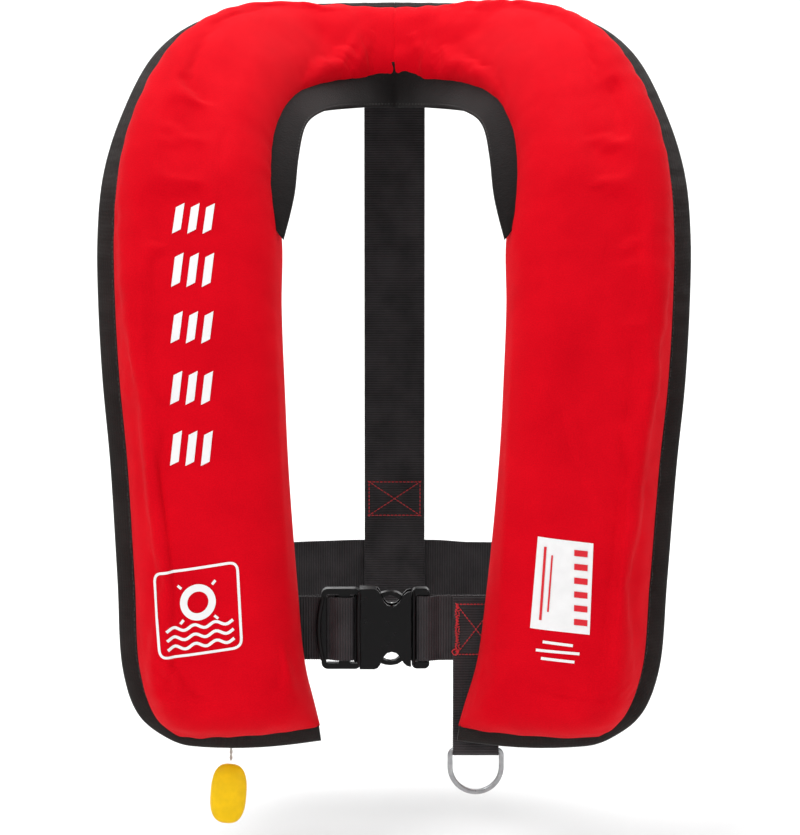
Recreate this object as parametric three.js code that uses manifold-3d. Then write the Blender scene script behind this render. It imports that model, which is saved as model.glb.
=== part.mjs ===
// Inflatable life jacket of the horseshoe kind, standing as it is worn.
//
// Millimetres. +Z is up, the front of the jacket faces -Y, and +X is the wearer's left.
// The origin is the wearer's nape, under the middle of the collar.

import * as THREE from 'three';
import * as BufferGeometryUtils from 'three/addons/utils/BufferGeometryUtils.js';
import Module from 'manifold-3d';

const wasm = await Module();
wasm.setup();

// ---------------------------------------------------------------- driving dimensions

const GAP = 0.3; // left between pieces that touch

// The sheet that each half of the horseshoe is built on: its inner and its outer edge,
// from the bottom of the front lobe, over the shoulder, to the middle of the back.
const HALF_ROWS = [
  { inner: [41.5, -208, -382], outer: [128, -206, -385.5] },
  { inner: [47, -208, -361], outer: [152, -206, -369] },
  { inner: [54, -208, -334], outer: [163, -206, -341] },
  { inner: [59.5, -208, -284], outer: [167, -205, -284] },
  { inner: [65.5, -203, -212], outer: [172, -199, -212] },
  { inner: [68, -196, -165], outer: [177, -190, -165] },
  { inner: [70, -184, -118], outer: [180.5, -176, -116] },
  { inner: [70, -170, -82], outer: [182, -158, -78] },
  { inner: [74, -154, -50], outer: [180, -136, -42] },
  { inner: [74, -132, -27], outer: [170.5, -106, -6] },
  { inner: [69, -102, -12], outer: [152.5, -68, 31] },
  { inner: [59, -70, -6], outer: [127, -32, 51] },
  { inner: [43, -40, -4], outer: [92, 2, 58.5] },
  { inner: [22, -20, -3], outer: [50, 24, 62] },
  { inner: [GAP / 2, -13, -2], outer: [GAP / 2, 31, 63] },
];
const SEAM_START = 0.9; // share of the half's length where it starts to square to the seam
const DRIFT = 3; // how far both lobes hang towards the wearer's right, at the bottom
const DRIFT_START = 0.35; // share of the half's length above which they don't
const BOTTOM_BELLY = 3; // how far the bottom edge sags below a straight line
const LOBE_BULGE = 37; // cover height over the sheet, on the lobes
const COLLAR_BULGE = 29; // and at the middle of the back
const COLLAR_START = 0.6; // share of the half's length where the bulge starts to fall
const BOTTOM_ROUND = 30; // length over which the bulge rises from the bottom edge
const LOBE_SHARE = 0.7; // share of the half's length that the lobe's own bladder fills
const COVER_T = 1.2;
const PANEL_T = 1.8;
const PANEL_FACE = 0.2; // the panel's front face stands this far behind the sheet
const BINDING_W = 9;
const BINDING_FRONT = 2.6;
const BINDING_BACK = 2;
const BLADDER_INSET = 5;
const LINING_T = 5;

const WEBBING_W = 40;
const WEBBING_T = 1.6;
const BELT_Z = -314; // middle of the waist belt's height
const BELT_FRONT_Y = -197.6; // the belt in front, on the wearer's left
const BELT_RIGHT_Y = -190.5; // and on the right, behind the adjustable end
const BELT_RIGHT_END = -80; // x at which it stops, short of the adjustable end's tip
const KEEPER = { x: 118, width: 16, front: -203.4, rear: -188.2, margin: 3, thickness: 1.2 };
const BELT_BACK_Y = 21;
const BELT_HALF_W = 150;
const STRAP_TOP_Z = 38;
const STRAP_FOLD = 2.5; // from the belt's middle to the middle of the strap on each face of it
const COLLAR_SLOPE = 0.68; // how far the collar leans back for each millimetre up
const STITCH_Z = [-277, -254.5]; // the sewn box on the back strap

const RING_X = 50; // the harness ring and its webbing
const RING_WEB_W = 28;
const RING_WEB_T = 1.5;
const RING_WEB_GAP = 2.75; // from the belt's middle plane to each layer's
const RING_AXIS = { y: -199.2, z: -389.5 };
const RING_HALF_W = 17.3;
const RING_DEPTH = 28;
const RING_T = 3;

const BUCKLE_Y = -197.5; // middle plane of the side-release buckle
const BUCKLE_HALF_H = 24.8;

const CORD_D = 2;
const CORD_X = -99.5;
const CORD_Y = -205.9;
const CORD_TOP_Z = -330;
const TOGGLE_TOP_Z = -396.5;
const TOGGLE = { width: 22, height: 38, thickness: 10, bevel: 2.5 };
const TOGGLE_X = CORD_X - 0.3;
const TOGGLE_TILT = 0.08; // radians, its foot towards the wearer's right

const INFLATOR_Y = [-229, -213]; // front and back faces of the inflator's body
const LEVER_PIVOT = { x: -121, z: -331 };
const PIVOT_R = 2.2;
const LEVER_REACH = 21.5;
const CYLINDER = { x: -128, y: -221.5, z0: -312, radius: 12.5, length: 132, lean: 0.035 };
const CYLINDER_NECK = 5; // its radius
const ORAL_TUBE = { x: 130, y: -219.5, z0: -300, radius: 6, length: 100, lean: 0.07 };

const COLOURS = {
  red: 0xe40c26,
  black: 0x28231f,
  webbing: 0x232122,
  lining: 0x1c1616,
  plastic: 0x0e0e10,
  steel: 0x8f9296,
  yellow: 0xfad102,
  cord: 0xd9d4c8,
  stitch: 0xd0182a,
  bladder: 0xf2b705,
};

// ------------------------------------------------------------------ solids and scene

const jacket = new THREE.Group();

function material(color, roughness, metalness = 0) {
  return new THREE.MeshStandardMaterial({ color, roughness, metalness });
}

function add(name, geometry, meshMaterial) {
  const mesh = new THREE.Mesh(geometry, meshMaterial);
  mesh.name = name;
  jacket.add(mesh);
  return mesh;
}

function toManifold(geometry) {
  const bare = geometry.clone();
  bare.deleteAttribute('normal');
  bare.deleteAttribute('uv');
  const merged = BufferGeometryUtils.mergeVertices(bare, 1e-4);
  const vertProperties = new Float32Array(merged.attributes.position.array);
  const triVerts = new Uint32Array(merged.index.array);
  return new wasm.Manifold(new wasm.Mesh({ numProp: 3, vertProperties, triVerts }));
}

function fromManifold(solid) {
  const { vertProperties, triVerts } = solid.getMesh();
  const geometry = new THREE.BufferGeometry();
  geometry.setAttribute('position', new THREE.BufferAttribute(vertProperties, 3));
  geometry.setIndex(new THREE.BufferAttribute(triVerts, 1));
  return geometry;
}

function cut(geometry, ...tools) {
  const solid = tools.reduce((left, tool) => left.subtract(toManifold(tool)), toManifold(geometry));
  return fromManifold(solid);
}

function join(...geometries) {
  const [first, ...rest] = geometries.map(toManifold);
  return fromManifold(rest.reduce((solid, other) => solid.add(other), first));
}

function box(low, high) {
  const [w, d, h] = high.map((value, axis) => value - low[axis]);
  const geometry = new THREE.BoxGeometry(w, d, h);
  return geometry.translate(low[0] + w / 2, low[1] + d / 2, low[2] + h / 2);
}

function extrude(shape, depth, curveSegments = 8) {
  return new THREE.ExtrudeGeometry(shape, { depth, bevelEnabled: false, curveSegments });
}

// An outline drawn in x and z, given a thickness from yFront back to yBack.
function extrudeXZ(shape, yFront, yBack, curveSegments) {
  const turn = new THREE.Matrix4().makeBasis(
    new THREE.Vector3(1, 0, 0), new THREE.Vector3(0, 0, 1), new THREE.Vector3(0, -1, 0));
  return extrude(shape, yBack - yFront, curveSegments).applyMatrix4(turn).translate(0, yBack, 0);
}

// An outline drawn in y and z, given a width from xLow to xHigh.
function extrudeYZ(shape, xLow, xHigh) {
  const turn = new THREE.Matrix4().makeBasis(
    new THREE.Vector3(0, 1, 0), new THREE.Vector3(0, 0, 1), new THREE.Vector3(1, 0, 0));
  return extrude(shape, xHigh - xLow).applyMatrix4(turn).translate(xLow, 0, 0);
}

function roundedRect(x0, z0, x1, z1, radius) {
  const shape = new THREE.Shape();
  shape.moveTo(x0 + radius, z0);
  shape.lineTo(x1 - radius, z0);
  shape.absarc(x1 - radius, z0 + radius, radius, -Math.PI / 2, 0);
  shape.lineTo(x1, z1 - radius);
  shape.absarc(x1 - radius, z1 - radius, radius, 0, Math.PI / 2);
  shape.lineTo(x0 + radius, z1);
  shape.absarc(x0 + radius, z1 - radius, radius, Math.PI / 2, Math.PI);
  shape.lineTo(x0, z0 + radius);
  shape.absarc(x0 + radius, z0 + radius, radius, Math.PI, Math.PI * 1.5);
  return shape;
}

// The outline of a strip of webbing whose middle line is the points given.
function stripShape(points, thickness) {
  const middle = points.map(([a, b]) => new THREE.Vector2(a, b));
  const sides = [1, -1].map((side) => middle.map((point, i) => {
    const before = middle[Math.max(i - 1, 0)];
    const after = middle[Math.min(i + 1, middle.length - 1)];
    const inward = point.clone().sub(before).normalize();
    const outward = after.clone().sub(point).normalize();
    const along = inward.add(outward).normalize();
    const turn = i === 0 || i === middle.length - 1 ? 1 : Math.abs(along.dot(outward));
    const offset = (side * thickness) / 2 / turn;
    return new THREE.Vector2(-along.y, along.x).multiplyScalar(offset).add(point);
  }));
  return new THREE.Shape([...sides[0], ...sides[1].reverse()]);
}

function arcPoints(cx, cy, radius, from, to, steps) {
  return Array.from({ length: steps + 1 }, (_, i) => {
    const angle = from + ((to - from) * i) / steps;
    return [cx + radius * Math.cos(angle), cy + radius * Math.sin(angle)];
  });
}

// A closed solid between two skins, each a function of u and v from 0 to 1.
function skinSolid(front, back, uSteps, vSteps) {
  const positions = [];
  const index = [];
  const row = uSteps + 1;
  const skin = row * (vSteps + 1);
  for (const surface of [front, back]) {
    for (let j = 0; j <= vSteps; j += 1) {
      for (let i = 0; i <= uSteps; i += 1) {
        const u = 0.5 - 0.5 * Math.cos((Math.PI * i) / uSteps);
        positions.push(...surface(u, j / vSteps).toArray());
      }
    }
  }
  const quad = (a, b, c, d) => index.push(a, b, c, a, c, d);
  for (let j = 0; j < vSteps; j += 1) {
    for (let i = 0; i < uSteps; i += 1) {
      const a = j * row + i;
      quad(a, a + 1, a + row + 1, a + row);
      quad(skin + a, skin + a + row, skin + a + row + 1, skin + a + 1);
    }
  }
  for (let i = 0; i < uSteps; i += 1) {
    const last = vSteps * row + i;
    quad(i, skin + i, skin + i + 1, i + 1);
    quad(last, last + 1, skin + last + 1, skin + last);
  }
  for (let j = 0; j < vSteps; j += 1) {
    const first = j * row;
    const last = first + uSteps;
    quad(first, first + row, skin + first + row, skin + first);
    quad(last, skin + last, skin + last + row, last + row);
  }
  const geometry = new THREE.BufferGeometry();
  geometry.setAttribute('position', new THREE.Float32BufferAttribute(positions, 3));
  geometry.setIndex(signedVolume(positions, index) < 0 ? index.reverse() : index);
  return geometry;
}

function signedVolume(positions, index) {
  const corner = (i) => new THREE.Vector3().fromArray(positions, index[i] * 3);
  let volume = 0;
  for (let i = 0; i < index.length; i += 3) {
    volume += corner(i).dot(corner(i + 1).cross(corner(i + 2))) / 6;
  }
  return volume;
}

// --------------------------------------------------------- the sheet under each half

const edgeCurves = ['inner', 'outer'].map((edge) => new THREE.CatmullRomCurve3(
  HALF_ROWS.map((row) => new THREE.Vector3(...row[edge])), false, 'centripetal'));

// Where the sheet is, u across from the inner edge and v along from the lobe's bottom.
function sheetPoint(side, u, v) {
  const [inner, outer] = edgeCurves.map((curve) => curve.getPoint(THREE.MathUtils.clamp(v, 0, 1)));
  const point = inner.lerp(outer, u);
  const rows = HALF_ROWS.length - 1;
  const arch = Math.sin(Math.PI * THREE.MathUtils.clamp(u, 0, 1));
  point.z -= BOTTOM_BELLY * arch * Math.max(0, 1 - (v * rows) / 2) ** 2;
  const drift = DRIFT * (1 - THREE.MathUtils.smoothstep(v, 0, DRIFT_START));
  point.x = side * point.x - drift;
  return point;
}

function sheetWidth(v) {
  return sheetPoint(1, 0, v).distanceTo(sheetPoint(1, 1, v));
}

function sheetNormal(side, v) {
  const [before, after] = [Math.max(v - 0.01, 0), Math.min(v + 0.01, 1)];
  const across = sheetPoint(side, 1, v).sub(sheetPoint(side, 0, v));
  const along = sheetPoint(side, 0.5, after).sub(sheetPoint(side, 0.5, before));
  const normal = across.cross(along).multiplyScalar(side).normalize();
  normal.x *= 1 - THREE.MathUtils.smoothstep(v, SEAM_START, 1); // upright at the back seam
  return normal.normalize();
}

// The sheet's length for each unit of v, as it starts from the bottom edge.
const BOTTOM_SPAN = sheetPoint(1, 0.5, 0).distanceTo(sheetPoint(1, 0.5, 0.03)) / 0.03;

// Height of the cover over the sheet. Across, it rises steeply from both edges to a flat
// crown. Along, it rises from the bottom edge and is lower round the neck.
function coverHeight(u, v) {
  const crown = Math.sqrt(Math.max(0, 1 - Math.abs(2 * u - 1) ** 3.2));
  const rise = Math.min(1, (v * BOTTOM_SPAN) / BOTTOM_ROUND);
  const bottom = Math.sqrt(Math.max(0, 1 - (1 - rise) ** 2));
  const fall = THREE.MathUtils.smoothstep(v, COLLAR_START, 1);
  return crown * bottom * THREE.MathUtils.lerp(LOBE_BULGE, COLLAR_BULGE, fall);
}

// A skin over the sheet: `inset` draws it in from the cover's border on every side but the
// middle of the back, and `height` is its distance over the sheet there.
function skin(side, inset, height) {
  return (u, v) => {
    const low = (BINDING_W + 2 * GAP + inset) / BOTTOM_SPAN;
    const along = low + (1 - low) * v;
    const width = sheetWidth(along);
    const from = inset / width;
    const to = 1 - (BINDING_W + 2 * GAP + inset) / width;
    return sheetPoint(side, from + (to - from) * u, along)
      .addScaledVector(sheetNormal(side, along), height(u, v));
  };
}

const aboveSheet = (clearance, floor) => (u, v) => Math.max(coverHeight(u, v) - clearance, floor);

// ------------------------------------------------------------------- soft shell pieces

const SIDES = [{ side: -1, name: 'right' }, { side: 1, name: 'left' }];
const CLOTH_STEPS = { across: 8, along: 28 };

function coverGeometry(side) {
  return skinSolid(
    skin(side, 0, aboveSheet(0, 0.2)), skin(side, COVER_T, aboveSheet(COVER_T, 0.2)),
    CLOTH_STEPS.across, CLOTH_STEPS.along);
}

// Everything inside the cover's outer face, and a little more: what other pieces keep out of.
function coverKeepOut(side) {
  return skinSolid(
    skin(side, -2 * GAP, (u, v) => coverHeight(u, v) + 2 * GAP),
    skin(side, -2 * GAP, () => -PANEL_T - 1), CLOTH_STEPS.across, CLOTH_STEPS.along);
}

function panelGeometry(side) {
  return skinSolid(
    skin(side, 0, () => -PANEL_FACE), skin(side, 0, () => -PANEL_FACE - PANEL_T),
    3, CLOTH_STEPS.along);
}

// The border tape runs along the bottom edge of the lobe and up its whole outer edge.
function bindingGeometry(side) {
  const bottomShare = 0.2;
  const low = BINDING_W / BOTTOM_SPAN;
  const border = (t, depth, height) => {
    const onBottom = t < bottomShare;
    const v = onBottom ? 0 : (t - bottomShare) / (1 - bottomShare);
    const inwardV = Math.max(v, low * depth);
    const reach = onBottom ? t / bottomShare : 1;
    const u = reach * (1 - (depth * BINDING_W) / sheetWidth(inwardV));
    return sheetPoint(side, u, inwardV).addScaledVector(sheetNormal(side, inwardV), height);
  };
  return skinSolid(
    (u, v) => border(v, u, BINDING_FRONT), (u, v) => border(v, u, -BINDING_BACK), 1, 44);
}

function bladderGeometry(side, fromV, toV) {
  const place = (surface) => (u, v) => surface(u, fromV + (toV - fromV) * v);
  return skinSolid(
    place(skin(side, BLADDER_INSET, aboveSheet(BLADDER_INSET, 2.2))),
    place(skin(side, BLADDER_INSET, () => 1.4)), 8, 16);
}

// The padded black band round the neck: it starts on the cover's inner flank and ends at a
// free edge nearer the neck. It is drawn from one tip, round the back, to the other.
const LINING_EDGE = new THREE.CatmullRomCurve3([
  [0, -23, -4], [16, -42, -3], [32, -66, -2], [46, -98, -4], [55, -124, -11],
  [59, -148, -30], [61, -166, -52], [67, -182, -78],
].map((point) => new THREE.Vector3(...point)), false, 'centripetal');
const LINING_START_V = 0.5; // where the band's tip lies along the half

function liningGeometry() {
  const frame = (w) => {
    const side = w < 0.5 ? -1 : 1;
    const fromBack = Math.abs(2 * w - 1);
    const v = 1 - fromBack * (1 - LINING_START_V);
    const share = 0.02 + 0.13 * (1 - fromBack) ** 2;
    const onCover = skin(side, -2.5 * GAP, (a, b) => coverHeight(a, b) + 2.5 * GAP)(share, v);
    const edge = LINING_EDGE.getPoint(fromBack);
    edge.x *= side;
    return { onCover, edge };
  };
  const awayFromNeck = (point) => (
    new THREE.Vector3(point.x, point.y + 120, 0.35 * (point.z + 40)).normalize());
  const front = (u, w) => {
    const { onCover, edge } = frame(w);
    return edge.lerp(onCover, u);
  };
  const back = (u, w) => {
    const point = front(u, w);
    return point.addScaledVector(awayFromNeck(point), LINING_T * (1 - 0.5 * u));
  };
  return cut(skinSolid(front, back, 2, 36), coverKeepOut(-1), coverKeepOut(1));
}

// --------------------------------------------------------- gas gear in the right lobe

const SEGMENTS = 16;

// A turned piece standing up from its foot and leaning back by its `lean`, in radians.
function turned(spec, profile) {
  const outline = profile.map(([radius, height]) => new THREE.Vector2(radius, height));
  return new THREE.LatheGeometry(outline, SEGMENTS)
    .rotateX(Math.PI / 2).rotateX(-spec.lean).translate(spec.x, spec.y, spec.z0);
}

function cylinderGeometry() {
  const { radius, length } = CYLINDER;
  return turned(CYLINDER, [
    [0, 0], [CYLINDER_NECK, 0], [CYLINDER_NECK, 9], [radius, 20], [radius, length - 9],
    [radius * 0.78, length - 2.5], [radius * 0.4, length], [0, length],
  ]);
}

// The inflator's body has a socket for the cylinder's neck, a channel for the firing pin
// and, behind it, the pin that the lever turns on.
function inflatorGeometry() {
  const body = extrudeXZ(roundedRect(-142, -344, -113, -304, 4), INFLATOR_Y[0], INFLATOR_Y[1]);
  const pivot = new THREE.CylinderGeometry(PIVOT_R, PIVOT_R, 6.2, SEGMENTS)
    .translate(LEVER_PIVOT.x, INFLATOR_Y[1] + 2.8, LEVER_PIVOT.z);
  const neck = CYLINDER_NECK + GAP;
  const shoulder = CYLINDER.radius + 3 * GAP;
  const socket = turned(CYLINDER, [
    [0, -3], [neck, -3], [neck, 9], [shoulder, 20.5], [shoulder, 30], [0, 30],
  ]);
  const channel = turned(CYLINDER, [[0, -16], [1.6, -16], [1.6, 1], [0, 1]]);
  return cut(join(body, pivot), socket, channel);
}

function pinGeometry() {
  return turned(CYLINDER, [[0, -14], [1.3, -14], [1.3, -4], [0, -1.5]]);
}

// The lever turns about its pivot, so that its tip, with the cord's eye, goes down.
function leverGeometry() {
  const { x, z } = LEVER_PIVOT;
  const tip = x + LEVER_REACH;
  const arm = new THREE.Shape();
  arm.absarc(x, z, 5, Math.PI / 2, 1.5 * Math.PI);
  arm.lineTo(tip, z - 2.8);
  arm.absarc(tip, z, 2.8, -Math.PI / 2, Math.PI / 2);
  arm.lineTo(x, z + 5);
  const hole = new THREE.Path();
  hole.absarc(x, z, PIVOT_R + GAP, 0, 2 * Math.PI);
  arm.holes.push(hole);
  return extrudeXZ(arm, INFLATOR_Y[1] + GAP, INFLATOR_Y[1] + 5.2, 6);
}

const GAS_ROOM = { low: [-148, -260, -363], high: [-92, -190, -174] };
const AIR_ROOM = { low: [108, -260, -306], high: [148, -190, -178] };

// ---------------------------------------------------------- mouth tube in the left lobe

function tubeGeometry() {
  const { radius, length } = ORAL_TUBE;
  const bore = radius - 1.8;
  return turned(ORAL_TUBE, [
    [bore, 0], [radius + 6, 0], [radius + 6, 2.5], [radius, 5], [radius, length - 12],
    [radius - 1, length - 12], [radius - 1, length], [bore, length], [bore, 0],
  ]);
}

function capGeometry() {
  const { radius, length } = ORAL_TUBE;
  const wall = 1.6;
  const inner = radius - 1 + GAP;
  return turned(ORAL_TUBE, [
    [inner, length - 10], [inner + wall, length - 10], [inner + wall, length + 2.5],
    [inner - 1, length + 4], [0, length + 4], [0, length + 1], [inner, length + 1],
    [inner, length - 10],
  ]);
}

function whistleGeometry() {
  const body = extrudeXZ(roundedRect(112, -272, 119, -228, 3), -222, -214);
  const mouth = box([114, -220.5, -229], [117, -215.5, -225]);
  const window = box([113.5, -224, -246], [117.5, -218, -240]);
  return cut(body, mouth, window);
}

// ----------------------------------------------------------------------------- webbing

const BELT_LOW = BELT_Z - WEBBING_W / 2;

// The waist belt seen from above. It is folded round the buckle's bar, runs back along
// itself, then round the wearer's left side, the back and the right side.
function beltGeometry() {
  const barX = 16.6;
  const fold = 3.2; // half the distance between the two layers at the bar
  const sewn = 0.95; // and where they are sewn together
  const foldY = BUCKLE_Y - 1.3;
  const frontLayer = [
    [92, BELT_FRONT_Y - sewn], [27, BELT_FRONT_Y - sewn], [21, foldY - fold], [barX, foldY - fold],
  ];
  const turn = arcPoints(barX, foldY, fold, -Math.PI / 2, -1.5 * Math.PI, 6).slice(1);
  const rearLayer = [
    [21, foldY + fold], [27, BELT_FRONT_Y + sewn], [92, BELT_FRONT_Y + sewn],
  ];
  const halfDepth = (BELT_BACK_Y - BELT_FRONT_Y) / 2;
  const centreY = BELT_FRONT_Y + halfDepth;
  const squared = (value) => Math.sign(value) * Math.abs(value) ** (2 / 2.7);
  const steps = 30;
  const round = Array.from({ length: steps }, (_, i) => {
    const angle = -0.14 * Math.PI + (1.28 * Math.PI * i) / (steps - 1);
    return [
      BELT_HALF_W * squared(Math.cos(angle)), centreY + halfDepth * squared(Math.sin(angle)),
    ];
  });
  const corner = (side, y) => [
    [side * 127, y], [side * 134, y + 2], [side * 140, y + 9], [side * 143, y + 21],
  ];
  const path = [
    ...frontLayer, ...turn, ...rearLayer, ...corner(1, BELT_FRONT_Y + sewn), ...round,
    ...corner(-1, BELT_RIGHT_Y).reverse(), [BELT_RIGHT_END, BELT_RIGHT_Y],
  ];
  return extrude(stripShape(path, WEBBING_T), WEBBING_W).translate(0, 0, BELT_LOW);
}

// The adjustable end, from the lobe to the buckle's bar, over it and back behind itself.
function adjusterGeometry() {
  const over = [
    [-106, -199.2], [-47, -199.2], [-39.4, -199.9], [-35.4, -203.4], [-32.8, -204.2],
    [-27.4, -204.2], [-24.6, -202.8], [-24, -197.4], [-25.4, -194.4], [-29, -192.8],
    [-42, -193.6], [-60, -196.4],
  ];
  const shape = stripShape(over, WEBBING_T - 0.2);
  return extrude(shape, WEBBING_W - 1).translate(0, 0, BELT_LOW + 0.5);
}

// The back strap hangs from the collar, passes under the waist belt and is sewn to itself.
function strapGeometry() {
  const y = BELT_BACK_Y - STRAP_FOLD;
  const tab = 16;
  const turnZ = BELT_LOW - GAP - WEBBING_T / 2;
  const sewnY = y + WEBBING_T + 0.2;
  const path = [
    [y + tab * COLLAR_SLOPE, STRAP_TOP_Z + tab], [y, STRAP_TOP_Z],
    ...arcPoints(BELT_BACK_Y, turnZ + 1.3, STRAP_FOLD, Math.PI, 2 * Math.PI, 6),
    [BELT_BACK_Y + STRAP_FOLD, BELT_LOW + WEBBING_W + 3],
    [sewnY, STITCH_Z[0] - 5], [sewnY, STITCH_Z[1] + 4],
  ];
  return extrudeYZ(stripShape(path, WEBBING_T), -WEBBING_W / 2, WEBBING_W / 2);
}

// The harness ring's webbing is sewn over the belt and under it, and holds the ring below.
function ringWebbingGeometry() {
  const front = BELT_FRONT_Y - RING_WEB_GAP;
  const rear = BELT_FRONT_Y + RING_WEB_GAP;
  const hold = 3.2;
  const path = [
    [front, BELT_LOW + WEBBING_W - 1], [front, BELT_LOW - 1], [RING_AXIS.y - hold, BELT_LOW - 12],
    [RING_AXIS.y - hold, RING_AXIS.z],
    ...arcPoints(RING_AXIS.y, RING_AXIS.z, hold, Math.PI, 2 * Math.PI, 6).slice(1),
    [RING_AXIS.y + hold, BELT_LOW - 12], [rear, BELT_LOW - 1], [rear, BELT_LOW + WEBBING_W - 1],
  ];
  const half = RING_WEB_W / 2;
  return extrudeYZ(stripShape(path, RING_WEB_T), RING_X - half, RING_X + half);
}

// A flat keeper on the back of each lobe, that the waist belt passes through.
function keeperGeometry(side) {
  const { front, rear, width, margin } = KEEPER;
  const [low, top] = [BELT_LOW - margin, BELT_LOW + WEBBING_W + margin];
  const path = [[front, top], [rear, top], [rear, low], [front, low]];
  const from = side * KEEPER.x - width / 2;
  return extrudeYZ(stripShape(path, KEEPER.thickness), from, from + width);
}

// Raised stitches in a boxed cross, sewn through webbing whose front face is at yFace.
function boxStitch(x0, z0, x1, z1, yFace) {
  const [width, depth] = [0.9, 0.5];
  const y = yFace - GAP / 2 - depth / 2;
  const thread = (ax, az, bx, bz) => {
    const length = Math.hypot(bx - ax, bz - az) + width;
    return new THREE.BoxGeometry(length, depth, width)
      .rotateY(-Math.atan2(bz - az, bx - ax)).translate((ax + bx) / 2, y, (az + bz) / 2);
  };
  return join(
    thread(x0, z0, x1, z0), thread(x1, z0, x1, z1), thread(x1, z1, x0, z1), thread(x0, z1, x0, z0),
    thread(x0, z0, x1, z1), thread(x0, z1, x1, z0));
}

// ------------------------------------------------------------------------ harness ring

function ringGeometry() {
  const outline = (inset) => {
    const half = RING_HALF_W - inset;
    const top = RING_AXIS.z + RING_T / 2 - inset;
    const low = RING_AXIS.z - RING_DEPTH + RING_HALF_W;
    const shape = new THREE.Shape();
    shape.moveTo(RING_X + half, top);
    shape.lineTo(RING_X - half, top);
    shape.lineTo(RING_X - half, low);
    shape.absarc(RING_X, low, half, Math.PI, 2 * Math.PI);
    shape.lineTo(RING_X + half, top);
    return shape;
  };
  const shape = outline(0);
  shape.holes.push(outline(RING_T));
  return extrudeXZ(shape, RING_AXIS.y - RING_T / 2, RING_AXIS.y + RING_T / 2, 14);
}

// -------------------------------------------------------------------------- the buckle

const [PLATE_FRONT, PLATE_BACK] = [BUCKLE_Y - 6.5, BUCKLE_Y + 6.5];

// The socket half: a ladder frame for the webbing, then a hollow housing with waisted
// front and back plates, open at its sides and mouth.
function socketGeometry() {
  const h = BUCKLE_HALF_H;
  const slotH = 21.5;
  const waist = 14;
  const mouth = h - 1.5;
  const plate = new THREE.Shape();
  plate.moveTo(-21, BELT_Z - h);
  plate.lineTo(-12, BELT_Z - h);
  plate.bezierCurveTo(-7, BELT_Z - h, -8, BELT_Z - waist, -1.5, BELT_Z - waist);
  plate.bezierCurveTo(5, BELT_Z - waist, 4, BELT_Z - mouth, 10.4, BELT_Z - mouth);
  plate.lineTo(10.4, BELT_Z + mouth);
  plate.bezierCurveTo(4, BELT_Z + mouth, 5, BELT_Z + waist, -1.5, BELT_Z + waist);
  plate.bezierCurveTo(-8, BELT_Z + waist, -7, BELT_Z + h, -12, BELT_Z + h);
  plate.lineTo(-21, BELT_Z + h);
  const housing = extrudeXZ(plate, PLATE_FRONT, PLATE_BACK, 6);
  const opening = (xLow, reach) => box(
    [xLow, PLATE_FRONT + 2.4, BELT_Z - reach], [12, PLATE_BACK - 2.4, BELT_Z + reach]);
  const hollow = opening(-18.5, 22.4);
  const sideways = opening(-10.5, 30);
  const frame = roundedRect(-44.3, BELT_Z - h, -20, BELT_Z + h, 4);
  frame.holes.push(
    roundedRect(-41.3, BELT_Z - slotH, -33.6, BELT_Z + slotH, 1),
    roundedRect(-27, BELT_Z - slotH, -21.6, BELT_Z + slotH, 1));
  const ladder = extrudeXZ(frame, BUCKLE_Y - 5.2, BUCKLE_Y + 2.6, 4);
  const recess = (xLow, xHigh, yLow) => box(
    [xLow, yLow, BELT_Z - slotH], [xHigh, BUCKLE_Y + 3, BELT_Z + slotH]);
  const behindEndBar = recess(-60, -33.6, BUCKLE_Y - 3.2);
  const behindBar = recess(-34, -21.6, BUCKLE_Y + 1.4);
  return cut(join(cut(housing, hollow, sideways), ladder), behindEndBar, behindBar);
}

// The plug half: a base with a slot and a bar for the sewn webbing, a tongue, and two
// sprung arms whose outer pads show in the housing's open sides.
function plugGeometry() {
  const h = BUCKLE_HALF_H;
  const slotH = 20.8;
  const base = roundedRect(10.8, BELT_Z - h, 21.6, BELT_Z + h, 3.2);
  base.holes.push(roundedRect(12.1, BELT_Z - slotH, 15, BELT_Z + slotH, 0.6));
  const body = extrudeXZ(base, BUCKLE_Y - 3.9, BUCKLE_Y + 3.9, 5);
  const recess = (xLow, yLow, yHigh) => box(
    [xLow, yLow, BELT_Z - slotH], [23, yHigh, BELT_Z + slotH]);
  const recesses = [
    recess(14, BUCKLE_Y - 9, BUCKLE_Y - 2.6), recess(14, BUCKLE_Y, BUCKLE_Y + 9),
    recess(18.4, BUCKLE_Y - 9, BUCKLE_Y + 9),
  ];
  const tongue = box([-16, BUCKLE_Y - 2.6, BELT_Z - 3], [11.5, BUCKLE_Y + 2.6, BELT_Z + 3]);
  const arms = [1, -1].map((side) => {
    const z = (reach) => BELT_Z + side * reach;
    const arm = new THREE.Shape();
    arm.moveTo(11.6, z(12));
    arm.bezierCurveTo(4, z(13), 4, z(20.5), -2, z(20.5));
    arm.bezierCurveTo(-7, z(20.5), -9, z(16), -16.5, z(14));
    arm.lineTo(-17, z(17.5));
    arm.bezierCurveTo(-9, z(20.5), -8, z(22.8), -2, z(22.8));
    arm.bezierCurveTo(6, z(22.8), 4, z(17.5), 11.6, z(17));
    return extrudeXZ(arm, BUCKLE_Y - 3.4, BUCKLE_Y + 3.4, 5);
  });
  return join(cut(body, ...recesses), tongue, ...arms);
}

// ----------------------------------------------------------------- pull cord and toggle

// The cord's middle line, from the lever's eye down to the toggle.
const CORD_ROUTE = [
  [CORD_X, CORD_Y, CORD_TOP_Z], [CORD_X - 0.1, CORD_Y, -346], [CORD_X + 0.1, CORD_Y, -362],
  [CORD_X, CORD_Y, -376], [CORD_X - 0.1, CORD_Y, -387], [TOGGLE_X, CORD_Y, TOGGLE_TOP_Z + 1.6],
];

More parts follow.
